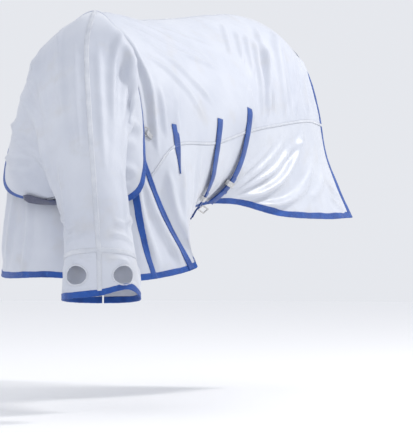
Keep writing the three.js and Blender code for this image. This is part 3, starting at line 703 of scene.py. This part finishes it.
def ribbed(name, low, high, roughness, pitch, depth, worn=None):
    """Tape or webbing: ribs across its width with painted shade in the grooves between them, fine threads along
    it, and paler, rubbed patches.
    """
    made = Nodes(name)
    place = made.node("ShaderNodeTexCoord")
    cloth_place, solid_place = place.outputs["UV"], place.outputs["Object"]
    ribs = made.wave(cloth_place, 2 * math.pi * WAVE_PER_METRE / pitch, "X", 0.4)
    threads = made.wave(cloth_place, 2 * math.pi * WAVE_PER_METRE / (pitch * 1.7), "Y", 0.4)
    made.bump(made.math("ADD", ribs, made.math("MULTIPLY", threads, 0.5)), depth, 0.0006)
    # Painted shade: the colour is darker in the grooves between the ribs and lighter on their crests; the noise
    # adds a tone that differs at random.
    groove_shade_and_tone = made.math("ADD", made.math("MULTIPLY", ribs, 0.25), made.noise(solid_place, 22.0, 4.0))
    colour = made.ramp(groove_shade_and_tone, low, high, 0.35, 0.85)
    if worn:
        rubbed = made.ramp(made.noise(solid_place, 60.0, 5.0), (0, 0, 0), (1, 1, 1), 0.62, 0.8)
        colour = made.over(rubbed, colour, worn)
    made.join(colour, "Base Color")
    made.set(Roughness=roughness, Sheen_Weight=0.15, Specular_IOR_Level=0.35)
    return made.material


def fuzzy(name, low, high):
    """Touch tape: a dense pile of loops, with painted shade in its hollows."""
    made = Nodes(name)
    place = made.node("ShaderNodeTexCoord").outputs["Object"]
    pile = made.node("ShaderNodeTexVoronoi", Vector=place, Scale=700.0).outputs["Distance"]
    made.bump(pile, 0.7, 0.0009)
    # Painted shade: the colour is darker in the hollows of the pile, where the bump sinks.
    made.join(made.ramp(pile, low, high, 0.1, 0.8), "Base Color")
    made.set(Roughness=0.9, Sheen_Weight=0.5, Sheen_Roughness=0.6)
    return made.material


def plated(name):
    """Nickel plate with fine scratches and duller, worn patches."""
    made = Nodes(name)
    place = made.node("ShaderNodeTexCoord").outputs["Object"]
    stretched = made.node("ShaderNodeMapping", Vector=place)
    stretched.inputs["Scale"].default_value = (40, 900, 40)
    scratches = made.noise(stretched.outputs["Vector"], 6.0, 6.0)
    patches = made.noise(place, 130.0, 4.0)
    made.join(made.ramp(patches, (0.42, 0.41, 0.39), (0.72, 0.72, 0.73)), "Base Color")
    made.uneven_roughness(scratches, 0.2, 0.42)
    made.bump(scratches, 0.15, 0.0003)
    made.set(Metallic=1.0)
    return made.material


def thread(name, colour):
    made = Nodes(name)
    place = made.node("ShaderNodeTexCoord").outputs["Object"]
    twist = made.noise(place, 1400.0, 2.0)
    # Painted shade: the thread's colour is darker where the twist's bump sinks.
    made.join(made.ramp(twist, tuple(c * 0.75 for c in colour), colour), "Base Color")
    made.bump(twist, 0.4, 0.0003)
    made.set(Roughness=0.5, Sheen_Weight=0.2)
    return made.material


MESH_CLOTH = woven("fly_mesh_cloth", (0.53, 0.56, 0.64), (0.64, 0.665, 0.73), 0.5, 0.25)
SATIN_CLOTH = woven("satin_cloth", (0.55, 0.58, 0.655), (0.66, 0.685, 0.745), 0.3, 0.3, 0.0008, 0.12, 0.32)
EDGE_WHITE = ribbed("white_seam_tape", (0.52, 0.55, 0.62), (0.68, 0.7, 0.75), 0.5, 0.0012, 0.35)
TAPE = ribbed(
    "blue_edge_tape", (0.006, 0.048, 0.25), (0.013, 0.095, 0.42), 0.42, 0.0013, 0.5, (0.04, 0.15, 0.48))
WEBBING = ribbed(
    "blue_webbing", (0.006, 0.044, 0.23), (0.012, 0.088, 0.39), 0.42, 0.0026, 0.8, (0.04, 0.14, 0.45))
TAB_WEBBING = ribbed("pale_tab_webbing", (0.42, 0.43, 0.45), (0.62, 0.63, 0.66), 0.6, 0.0022, 0.8)
CLOSURE = fuzzy("navy_touch_tape", (0.006, 0.01, 0.045), (0.018, 0.03, 0.11))
PALE_LOOP = fuzzy("pale_loop_tape", (0.55, 0.57, 0.62), (0.72, 0.74, 0.78))
THREAD = thread("blue_thread", (0.03, 0.14, 0.6))
WHITE_THREAD = thread("white_thread", (0.83, 0.84, 0.87))
NICKEL = plated("nickel_plate")


# ---- trims -----------------------------------------------------------------------------------------
# A tape folded over an edge: (distance in from the edge, height over the cloth's middle), all round.
TAPE_SECTION = [
    (0.0240, 0.0010), (0.0236, 0.0019), (0.0200, 0.0020), (0.0120, 0.0017), (0.0050, 0.0020),
    (0.0010, 0.0022), (-0.0008, 0.0012), (-0.0012, 0.0), (-0.0008, -0.0012), (0.0010, -0.0022),
    (0.0050, -0.0020),
    (0.0120, -0.0017), (0.0200, -0.0020), (0.0236, -0.0019), (0.0240, -0.0010),
]
STITCH_INSET = 0.0205  # of the stitching from the folded edge


def edge_places(surface, along, t, edge, inward, distance):
    """(u, v) at a distance in from an edge that runs along u or v."""
    t = np.asarray(t, float)
    rim = np.broadcast_to(float(edge), t.shape)
    if along == "u":
        return t, rim + inward * distance / surface.reach_v(t, rim - 0.02 * np.sign(edge - 0.5))
    return rim + inward * distance / surface.reach_u(rim + 0.02 * inward, t), t


def edge_length(surface, along, start, end, edge):
    t = np.linspace(start, end, 60)
    line = surface.at(t, edge) if along == "u" else surface.at(edge, t)
    return np.linalg.norm(np.diff(line, axis=0), axis=1).sum()


TRIM_STEP = 0.008  # along a tape or band, from one row of points to the next


def binding(name, surface, along, start, end, edge, inward, material, lift=no_lift):
    """Edge tape folded round an edge, a little puckered, with a row of stitches on each face."""
    length = edge_length(surface, along, start, end, edge)
    t = np.linspace(start, end, steps_for(length, TRIM_STEP))
    reach = np.linspace(0, length, len(t))
    pucker = 0.00025 * np.sin(reach * 2 * math.pi / 0.021) + 0.0002 * np.sin(reach * 2 * math.pi / 0.0093 + 1)
    rings, flat = [], []
    around = 0.0
    for k, (distance, height) in enumerate(TAPE_SECTION):
        drift = 0.0009 * np.sin(reach * 2 * math.pi / 0.13 + 2) if distance > 0.015 else 0
        wide = distance + drift + pucker
        u, v = edge_places(surface, along, t, edge, inward, wide)
        rings.append(surface.laid(u, v, CLOTH_LIFT + lift(u, v) + height * (1 + 250 * pucker)))
        if k:
            around += math.dist(TAPE_SECTION[k - 1], (distance, height))
        flat.append(np.stack([reach, np.full(len(t), around)], 1))
    build = Build()
    loft(build, np.stack(rings, 1), np.stack(flat, 1))
    for face in (1, -1):
        u, v = edge_places(surface, along, t, edge, inward, STITCH_INSET)
        line = surface.laid(u, v, CLOTH_LIFT + lift(u, v) + face * 0.0022)
        stitch_row(build, line, face * surface.normal(u, v))
    return build.made(name, material, THREAD)


def flat_band(name, surface, along, start, end, middle, width, height=0.0012, crown=0.0006):
    """A white band sewn flat along a seam, with a row of stitches near each edge."""
    length = edge_length(surface, along, start, end, middle)
    t = np.linspace(start, end, steps_for(length, TRIM_STEP))
    reach = np.linspace(0, length, len(t))
    half = width / 2
    section = [(-half, 0.0), (-half * 0.94, height), (-half * 0.5, height + crown), (0, height + crown * 1.2),
               (half * 0.5, height + crown), (half * 0.94, height), (half, 0.0), (0, -0.0004)]
    rings, flat = [], []
    for aside, rise in section:
        u, v = edge_places(surface, along, t, middle, 1, aside)
        rings.append(surface.laid(u, v, CLOTH_LIFT + CLOTH_THICK / 2 + rise))
        flat.append(np.stack([reach, np.full(len(t), aside + half)], 1))
    build = Build()
    loft(build, np.stack(rings, 1), np.stack(flat, 1))
    for side in (-1, 1):
        u, v = edge_places(surface, along, t, middle, 1, side * half * 0.72)
        line = surface.laid(u, v, CLOTH_LIFT + CLOTH_THICK / 2 + height + crown + 0.0002)
        stitch_row(build, line, surface.normal(u, v))
    return build.made(name, EDGE_WHITE, WHITE_THREAD)


# ---- webbing ---------------------------------------------------------------------------------------
STRAP_STEP = 0.006  # down a strap, from one row of points to the next
ROW_HEIGHT = 0.21  # metres down the body's side for one row of v, about
SPARE_RISE = 0.0031  # of the spare end's middle over the strap's
KEEPER_RISE = 0.0056
CORNER_SHARE = 0.45  # a strap's corner radius as a share of its thickness


def rounded_section(width, thick):
    """Points round a flat strap's section, across and through it."""
    points = []
    r = thick * CORNER_SHARE
    for first, right, top in ((0, 1, 1), (90, -1, 1), (180, -1, -1), (270, 1, -1)):
        for step in (0, 45, 90):
            a = math.radians(first + step)
            points.append((right * (width / 2 - r) + r * math.cos(a), top * (thick / 2 - r) + r * math.sin(a)))
    points.insert(9, (0.0, -thick / 2))
    points.insert(3, (0.0, thick / 2))
    return points


def webbing(build, centres, asides, normals, width, thick, widths=None):
    """A strap swept along centres, as one closed mesh. widths scales the width at each centre."""
    centres, asides, normals = (np.asarray(x, float) for x in (centres, asides, normals))
    section = rounded_section(width, thick)
    scale = np.ones(len(centres)) if widths is None else np.asarray(widths)
    reach = np.concatenate([[0], np.cumsum(np.linalg.norm(np.diff(centres, axis=0), axis=1))])
    rings = np.stack([centres + asides * (x * scale)[:, None] + normals * z for x, z in section], 1)
    flat = np.stack([np.stack([reach, np.full(len(reach), x + width / 2)], 1) for x, _ in section], 1)
    loft(build, rings, flat)


def box_stitch(build, centres, asides, normals, width, top):
    """A sewn rectangle with a cross in it, over the first and last of the centres given."""
    centres, asides, normals = (np.asarray(x, float) for x in (centres, asides, normals))
    half = width / 2 - 0.004
    face = centres + normals * top
    one, two = face + asides * half, face - asides * half
    share = np.linspace(-1, 1, len(face))[:, None]
    for line in (one, two, face + asides * half * share, face - asides * half * share):
        stitch_row(build, line, normals)
    for end in (0, -1):
        line = one[end] + (two[end] - one[end]) * np.linspace(0, 1, 8)[:, None]
        stitch_row(build, line, np.repeat(normals[end][None], 8, 0))


SURCINGLES = {
    # u at its top, rows from top to end, and how far it moves along u on the way
    "front": (3.1, (2.05, 2.75), -0.16),
    "middle": (4.12, (2.0, 3.86), -0.42),
    "rear": (5.02, (1.95, 3.86), -0.5),
}
STRAP_THICK = 0.0024
SEWN_HEIGHT = 0.0045  # of a strap's middle over the surface where it is sewn down


def strap_frame(u0, rows, skew, height):
    """Centres, sideways directions and normals down a surcingle. height is a function of its share."""
    v = np.linspace(*rows, steps_for((rows[1] - rows[0]) * ROW_HEIGHT, STRAP_STEP))
    share = (v - rows[0]) / (rows[1] - rows[0])
    u = u0 + skew * share
    level = height(share)
    # Near its sewn top the strap follows the cloth's folds, and lower down it hangs free of them.
    follow = 1 - smooth(share, 0.25, 0.6)
    base = body.at(u, v)
    normal = body.normal(u, v)
    centres = base + normal * (level + follow * body.relief(base))[:, None]
    down = unit(np.gradient(centres, axis=0))
    aside = unit(np.cross(down, normal))
    return centres, aside, np.cross(aside, down)


def surcingle(name):
    u0, rows, skew = SURCINGLES[name]
    build = Build()
    if name == "front":
        # It dives under the belly at its lower end, so it shows as a strap that narrows to a point.
        centres, aside, normal = strap_frame(u0, rows, skew, lambda share: SEWN_HEIGHT + 0.0 * share)
        share = np.linspace(0, 1, len(centres))
        narrowing = 1 - 0.86 * smooth(share, 0.35, 1.05)
        webbing(build, centres, aside, normal, STRAP_WIDTH, STRAP_THICK, narrowing)
    else:
        middle = STRAP_LIFT + 0.0015
        centres, aside, normal = strap_frame(
            u0, rows, skew, lambda share: SEWN_HEIGHT + (middle - SEWN_HEIGHT) * smooth(share, 0.08, 0.55))
        webbing(build, centres, aside, normal, STRAP_WIDTH, STRAP_THICK)
        # the spare end that comes back up through the slider, and its keeper loop
        back = slice(int(len(centres) * 0.62), len(centres) - 2)
        raised = centres[back] + normal[back] * SPARE_RISE
        webbing(build, raised, aside[back], normal[back], STRAP_WIDTH, STRAP_THICK)
        first = int(len(centres) * 0.79)
        keeper = slice(first, first + 3)
        raised = centres[keeper] + normal[keeper] * KEEPER_RISE
        webbing(build, raised, aside[keeper], normal[keeper], STRAP_WIDTH + 0.004, 0.0018)
    sewn = slice(2, 9)
    box_stitch(build, centres[sewn], aside[sewn], normal[sewn], STRAP_WIDTH, STRAP_THICK / 2 + 0.0002)
    return build.made(f"{name}_surcingle_webbing", WEBBING, THREAD)


TAB_WIDTH = 0.02
EYE_RADIUS = 0.00333
EYE_HEIGHT = 0.01113
RING_PLACES = {"upper": (2.3, 0.72), "lower": (2.24, 1.72)}


def neck_tab(side, sign, level):
    """Webbing sewn to the sheet at its end, looped round a ring's straight bar and back under itself."""
    u, v = RING_PLACES[level]
    u *= sign
    x, y, normal = frame_at(body, u, v)
    origin = body.at(u, v) + normal * EYE_HEIGHT
    radius = EYE_RADIUS + 0.0011
    path = [(-0.034, -0.0072), (-0.026, -0.0062), (-0.016, -0.0052), (-0.007, -0.0046)]
    path += [(radius * math.cos(a), radius * math.sin(a)) for a in np.radians(np.arange(-90, 151, 20))]
    path += [(-0.0085, -0.0016), (-0.016, -0.0030), (-0.026, -0.0042), (-0.033, -0.0052)]
    path = np.array(path)
    centres = origin + path[:, :1] * y + path[:, 1:] * normal
    tangent = unit(np.gradient(path, axis=0))
    across = -tangent[:, 1:] * y + tangent[:, :1] * normal
    build = Build()
    webbing(build, centres, np.repeat(x[None], len(path), 0), across, TAB_WIDTH, 0.0017)
    sewn = slice(len(path) - 4, len(path))
    line = centres[sewn] - across[sewn] * 0.0011
    for inset in (-0.0065, 0.0065):
        stitch_row(build, line + x * inset, np.repeat(normal[None], 4, 0))
    return build.made(f"{side}_{level}_neck_tab_webbing", TAB_WEBBING, WHITE_THREAD)


# ---- closures --------------------------------------------------------------------------------------
CLOSURES = {"bib": 0.32, "throat": 3.55, "jaw": 4.55, "cheek": 6.35}
CLOSURE_HEIGHT = 0.0112
CLOSURE_WIDTH = 0.038
CLOSURE_THICK = 0.0026
TOUCH_TAPE_THICK = 0.0014


def closure(name):
    """A touch-tape tab across the underside of the neck, with a pointed free end that curls up a little."""
    u0 = CLOSURES[name]
    v = np.linspace(UNDER - 0.2, UNDER + 0.4, 26)
    u = np.full(len(v), u0)
    share = np.linspace(0, 1, len(v))
    normal = neck.normal(u, v)
    curl = 0.0035 * smooth(share, 0.72, 1) - 0.002 * (1 - smooth(share, 0, 0.2))
    centres = neck.at(u, v) + normal * (CLOSURE_HEIGHT + curl)[:, None]
    down = unit(np.gradient(centres, axis=0))
    aside = np.cross(down, normal)
    build = Build()
    pointed = 1 - 0.45 * smooth(share, 0.84, 1)
    webbing(build, centres, aside, np.cross(aside, down), CLOSURE_WIDTH, CLOSURE_THICK, pointed)
    box_stitch(build, centres[1:7], aside[1:7], normal[1:7], CLOSURE_WIDTH, 0.0016)
    return build.made(f"{name}_closure_tape", CLOSURE, THREAD)


def touch_tape(name, height, material):
    """The touch tape sewn between the chest flaps."""
    u, v = np.meshgrid(np.linspace(LEFT_CHEST_U + 0.05, 1.2, 14), np.linspace(0.5, 3.5, 70), indexing="ij")
    fuzz = 0.00025 * np.sin(u * 900) * np.sin(v * 700)
    points = body.laid(u, v, height + fuzz)
    flat = np.stack([u * 0.2, v * 0.15], -1)
    normals = body.normal(u, v).reshape(-1, 3)
    both, faces = thickened(points.reshape(-1, 3), grid_quads(*u.shape), normals, TOUCH_TAPE_THICK)
    build = Build()
    build.add(both, faces, np.concatenate([flat.reshape(-1, 2)] * 2))
    return build.made(name, material)


# ---- ears ------------------------------------------------------------------------------------------
EAR = (5.95, 0.86)
EAR_HALF = (0.039, 0.048)


def ear_frame(sign):
    u, v = EAR[0], EAR[1] * sign
    x, y, normal = frame_at(neck, u, v)
    base = neck.at(u, v)
    centre = base + normal * (CLOTH_LIFT + float(neck.relief(base[None])[0]))
    return centre, x, y, normal


def ear_rim(side, sign):
    """White tape bound round the ear hole, laid on the hood's own curve."""
    _, x, y, normal = ear_frame(sign)
    angles = np.linspace(0, 2 * math.pi, 72, endpoint=False)
    # The rim follows the hood: each point is carried on to the surface along its normal.
    u0, v0 = EAR[0], EAR[1] * sign
    base = neck.at(u0, v0)
    step_u = (neck.at(u0 + NEARBY, v0) - neck.at(u0 - NEARBY, v0)) / (2 * NEARBY)
    step_v = (neck.at(u0, v0 + NEARBY) - neck.at(u0, v0 - NEARBY)) / (2 * NEARBY)
    into_uv = np.linalg.inv(np.array([[step_u @ x, step_v @ x], [step_u @ y, step_v @ y]]))
    section = [(0.0045, 0.0006), (0.004, 0.0019), (0.0, 0.0023), (-0.0022, 0.0015), (-0.0028, 0.0),
               (-0.0022, -0.0015), (0.0, -0.0022), (0.004, -0.0018), (0.0045, -0.0006)]
    rings, flat = [], []
    for out, rise in section:
        wide = np.stack([(EAR_HALF[0] + out) * np.cos(angles), (EAR_HALF[1] + out) * np.sin(angles)])
        shift = into_uv @ wide
        u, v = u0 + shift[0], v0 + shift[1]
        # second step: correct for the surface's own curve so that the rim is a true ellipse
        miss = neck.at(u, v) - base
        error = np.stack([wide[0] - miss @ x, wide[1] - miss @ y])
        shift = shift + into_uv @ error
        u, v = u0 + shift[0], v0 + shift[1]
        rings.append(neck.laid(u, v, CLOTH_LIFT + rise))
        flat.append(np.stack([angles * 0.043, np.full(len(angles), out)], 1))
    build = Build()
    loft(build, np.stack(rings, 1), np.stack(flat, 1), closed=True)
    line = np.concatenate([rings[1], rings[1][:1]]) + normal * 0.0003
    stitch_row(build, line, np.repeat(normal[None], len(line), 0), pitch=0.005)
    return build.made(f"{side}_ear_rim", EDGE_WHITE, WHITE_THREAD)


# ---- the sheet's pieces ----------------------------------------------------------------------------
def placed(piece, body_name, slot_name, *nodes):
    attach(piece, body_name)
    if nodes:
        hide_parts(*nodes)
    return piece


def panel(name, body_name, surface, u_range, v_range, satin=False, **more):
    """A cloth that rides on a body and stands for the CAD node of its name."""
    piece = cloth(f"{name}_cloth", surface, u_range, v_range, SATIN_CLOTH if satin else MESH_CLOTH, **more)
    return placed(piece, body_name, "satin_cloth" if satin else "mesh_cloth", name)


def bound(name, body_name, *place, lift=no_lift):
    """Blue edge tape that rides on a body and stands for the CAD node of its name."""
    return placed(binding(f"{name}_binding", *place, TAPE, lift), body_name, "tape", f"{name}_tape")


def span(sign, low, high):
    return (low, high) if sign > 0 else (-high, -low)


UNDER_TAPE = 0.004  # a cloth ends this far inside the fold of its edge tape
SLIT_LIFT = 0.0028  # the slit's tape lies on the skirt
SEAM_WIDTH = 0.02
BACK_SEAM_WIDTH = 0.022
PIPING_WIDTH = 0.011


def hem_row(u):
    return HEM - UNDER_TAPE / body.reach_v(u, np.full(np.shape(u), HEM - 0.05))


def to_hem(u):
    """A chest panel's rows, from the neckline to inside the hem's tape."""
    return u * 0, hem_row(u)


def flap_lift(u, v):
    """The right chest flap rises over the left one as it crosses the chest."""
    return CHEST_LAYER * smooth(u, 0.2, 0.75) + 0 * v


def gusset_lift(u, v):
    return GUSSET_DEPTH + 0 * (u + v)


TAIL_EDGE_U = TAIL_U - 0.013
GUSSET_U = (SHOULDER_U - 0.3, SHOULDER_U + 0.35)
sheet_pieces = {}

for side, sign in SIDES:
    whole = span(sign, SHOULDER_U, TAIL_EDGE_U)
    flank = panel(f"{side}_side", "sheet", body, whole, (0.0, SEAM))
    piping = flat_band(f"{side}_skirt_seam", body, "u", *whole, SEAM, PIPING_WIDTH, 0.0016, 0.0009)
    placed(piping, "sheet", "mesh_cloth")
    rear = bound(f"{side}_rear", "sheet", body, "v", 0.02, HEM, sign * TAIL_U, -sign)
    sheet_pieces[f"{side}_side"] = (flank, [piping, rear])
    skirt = panel(f"{side}_skirt", "sheet", body, whole, lambda u: (u * 0 + SEAM, hem_row(u)), satin=True)
    hem = bound(f"{side}_hem", "sheet", body, "u", *span(sign, SHOULDER_U, TAIL_U), HEM, -1)
    sheet_pieces[f"{side}_skirt"] = (skirt, [hem])
    gusset = panel(
        f"{side}_gusset", "sheet", body, span(sign, *GUSSET_U), (2.1, 3.5), satin=True, lift=gusset_lift)
    sheet_pieces[f"{side}_gusset"] = (gusset, [])

back_seam = flat_band("back_seam_binding", body, "u", SHOULDER_U + 1.0, TAIL_EDGE_U, 0.0, BACK_SEAM_WIDTH)
placed(back_seam, "sheet", "mesh_cloth", "back_seam_tape")

right_chest = panel("right_chest", "sheet", body, (-SHOULDER_U, FLAP_EDGE_U - 0.015), to_hem, lift=flap_lift)
right_apron_hem = bound(
    "right_apron_hem", "sheet", body, "u", -SHOULDER_U, FLAP_EDGE_U, HEM, -1, lift=flap_lift)
flap_edge = bound("flap_edge", "sheet", body, "v", 0.0, HEM, FLAP_EDGE_U, -1, lift=flap_lift)
left_chest = panel("left_chest", "sheet", body, (LEFT_CHEST_U, SHOULDER_U), to_hem)
left_apron_hem = bound("left_apron_hem", "sheet", body, "u", LEFT_CHEST_U, SHOULDER_U, HEM, -1)
slits = {
    side: bound(f"{side}_slit", "sheet", body, "v", 2.0, HEM, sign * SHOULDER_U, -sign,
                lift=lambda u, v: SLIT_LIFT + 0 * (u + v))
    for side, sign in SIDES
}
hooks = placed(touch_tape("chest_hook_tape_pile", 0.0067, CLOSURE), "sheet", "closure", "chest_hook_tape")
loops = placed(touch_tape("chest_loop_tape_pile", 0.0104, PALE_LOOP), "sheet", "closure", "chest_loop_tape")

# Neck cover and hood. The seam at the poll joins them, and their undersides close with touch tape.
NECK_EDGE_U = 0.018
BLUE_FROM = 1.32  # the neck cover's rear edge is bound in white above this and in blue below it
BROW_EDGE_U = BROW - 0.04
UNDER_EDGE = UNDER - 0.03
CREST_SEAM_END = BROW - 0.24
neck_pieces = {}
for side, sign in SIDES:
    around = span(sign, 0.0, UNDER_EDGE)
    cover = panel(f"{side}_neck", "neck_cover", neck, (NECK_EDGE_U, POLL), around)
    blue = bound(f"{side}_neck_edge", "neck_cover", neck, "v", *span(sign, BLUE_FROM, UNDER_EDGE), 0.0, 1)
    top = span(sign, 0.0, BLUE_FROM + 0.01)
    white = binding(f"{side}_neck_top_binding", neck, "v", *top, 0.0, 1, EDGE_WHITE)
    placed(white, "neck_cover", "mesh_cloth")
    ear_hole = (*ear_frame(sign)[:3], *EAR_HALF)
    hood = panel(f"{side}_hood", "neck_cover", neck, (POLL, BROW_EDGE_U), around, size=0.005, hole=ear_hole)
    rim = placed(ear_rim(side, sign), "neck_cover", "mesh_cloth")
    brow = bound(f"{side}_brow", "neck_cover", neck, "v", *around, BROW, -1)
    poll = flat_band(f"{side}_poll_seam", neck, "v", *around, POLL, SEAM_WIDTH)
    placed(poll, "neck_cover", "mesh_cloth", f"{side}_poll_tape")
    neck_pieces[side] = (cover, [blue, white], hood, [rim, brow, poll])
crest_seam = flat_band("crest_seam_binding", neck, "u", NECK_EDGE_U, CREST_SEAM_END, 0.0, SEAM_WIDTH)
placed(crest_seam, "neck_cover", "mesh_cloth", "crest_seam_tape")

for name in CLOSURES:
    placed(closure(name), f"{name}_closure", "closure", f"{name}_closure")

# Tail flap and belly flap.
tail_cloth = panel("tail_flap", "tail_flap", tail, (0.0, 4.0), (0.12, 2.985), satin=True)
tail_binding = bound("tail_flap", "tail_flap", tail, "u", 0.0, 4.0, 3.0, -1)
belly_cloth = panel("belly_flap", "belly_flap", belly, (0.02, 1.98), (0.0, 2.0))
belly_front = bound("belly_flap_front", "belly_flap", belly, "v", 0.0, 2.0, 0.0, 1)
belly_rear = bound("belly_flap_rear", "belly_flap", belly, "v", 0.0, 2.0, 2.0, -1)

# Surcingles, tabs and metal.
placed(surcingle("front"), "sheet", "webbing", "front_surcingle")
for name in ("middle", "rear"):
    placed(surcingle(name), f"{name}_strap", "webbing", f"{name}_surcingle")
for side, sign in SIDES:
    for level in RING_PLACES:
        placed(neck_tab(side, sign, level), "sheet", None, f"{side}_{level}_neck_tab")

METAL_NODES = [f"{name}_{part}" for name in ("middle", "rear") for part in ("slider", "slot_plate")]
METAL_NODES += [f"{side}_{level}_neck_ring" for side, _ in SIDES for level in RING_PLACES]
for name in METAL_NODES:
    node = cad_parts[name]
    node.data.materials.clear()
    node.data.materials.append(NICKEL)
    edges = node.modifiers.new("rounded edges", "BEVEL")
    edges.width = 0.0006
    edges.segments = 3
    edges.limit_method = "ANGLE"
    edges.angle_limit = math.radians(40)


for side, _ in SIDES:
    flank, trims = sheet_pieces[f"{side}_side"]
    cover, edges, hood, trims = neck_pieces[side]


# ---- stage, camera and light -----------------------------------------------------------------------
def floor():
    """A wide pale disc."""
    mesh = bpy.data.meshes.new("floor")
    rings, around, radius = 14, 96, 7.0
    points = [(0.0, 0.0, FLOOR_Z)]
    for ring in range(1, rings + 1):
        for k in range(around):
            angle = 2 * math.pi * k / around
            out = radius * ring / rings
            points.append((out * math.cos(angle), out * math.sin(angle), FLOOR_Z))
    faces = [[0, 1 + k, 1 + (k + 1) % around] for k in range(around)]
    for ring in range(rings - 1):
        inner, outer = 1 + ring * around, 1 + (ring + 1) * around
        for k in range(around):
            beside = (k + 1) % around
            faces.append([inner + k, outer + k, outer + beside, inner + beside])
    mesh.from_pydata(points, [], faces)
    made = bpy.data.objects.new("floor", mesh)
    bpy.context.scene.collection.objects.link(made)
    pale = Nodes("pale_floor")
    pale.set(Base_Color=(0.93, 0.93, 0.94, 1), Roughness=0.9)
    mesh.materials.append(pale.material)


def soft_light(name, place, target, power, size, colour=(1, 1, 1)):
    data = bpy.data.lights.new(name, "AREA")
    data.energy, data.size, data.color = power, size, colour
    light = bpy.data.objects.new(name, data)
    light.location = place
    light.rotation_mode = "QUATERNION"
    light.rotation_quaternion = (Vector(target) - Vector(place)).to_track_quat("-Z", "Y")
    bpy.context.scene.collection.objects.link(light)


def studio():
    world = bpy.data.worlds.new("soft_studio")
    world.use_nodes = True
    background = world.node_tree.nodes["Background"]
    background.inputs["Color"].default_value = (0.93, 0.95, 1.0, 1)
    background.inputs["Strength"].default_value = 0.85
    bpy.context.scene.world = world
    middle = (0.1, 0.3, -0.5)
    soft_light("key", (3.0, 2.6, 2.8), middle, 135, 0.7, (1, 0.985, 0.96))
    soft_light("front", (1.2, -4.0, 1.4), middle, 18, 2.2)
    soft_light("far_side", (-3.2, -0.5, 2.0), middle, 14, 2.0)


CAMERA_AZIMUTH = math.radians(27)
CAMERA_ELEVATION = math.radians(3)
CAMERA_DISTANCE = 45.0
CAMERA_TARGET = Vector((0.372, 0.190, -0.803))
SENSOR = 36.0
FRAME_HEIGHT = 1.698  # metres that the picture's height spans at the target


def camera():
    data = bpy.data.cameras.new("camera")
    made = bpy.data.objects.new("camera", data)
    back = Vector((
        math.sin(CAMERA_AZIMUTH) * math.cos(CAMERA_ELEVATION),
        -math.cos(CAMERA_AZIMUTH) * math.cos(CAMERA_ELEVATION),
        math.sin(CAMERA_ELEVATION),
    ))
    made.location = CAMERA_TARGET + back * CAMERA_DISTANCE
    made.rotation_mode = "QUATERNION"
    made.rotation_quaternion = (-back).to_track_quat("-Z", "Y")
    data.sensor_width = SENSOR
    data.lens = SENSOR * CAMERA_DISTANCE / FRAME_HEIGHT
    data.clip_end = 1000
    bpy.context.scene.collection.objects.link(made)
    bpy.context.scene.camera = made


floor()
studio()
camera()
bpy.context.scene.view_settings.view_transform = "Standard"
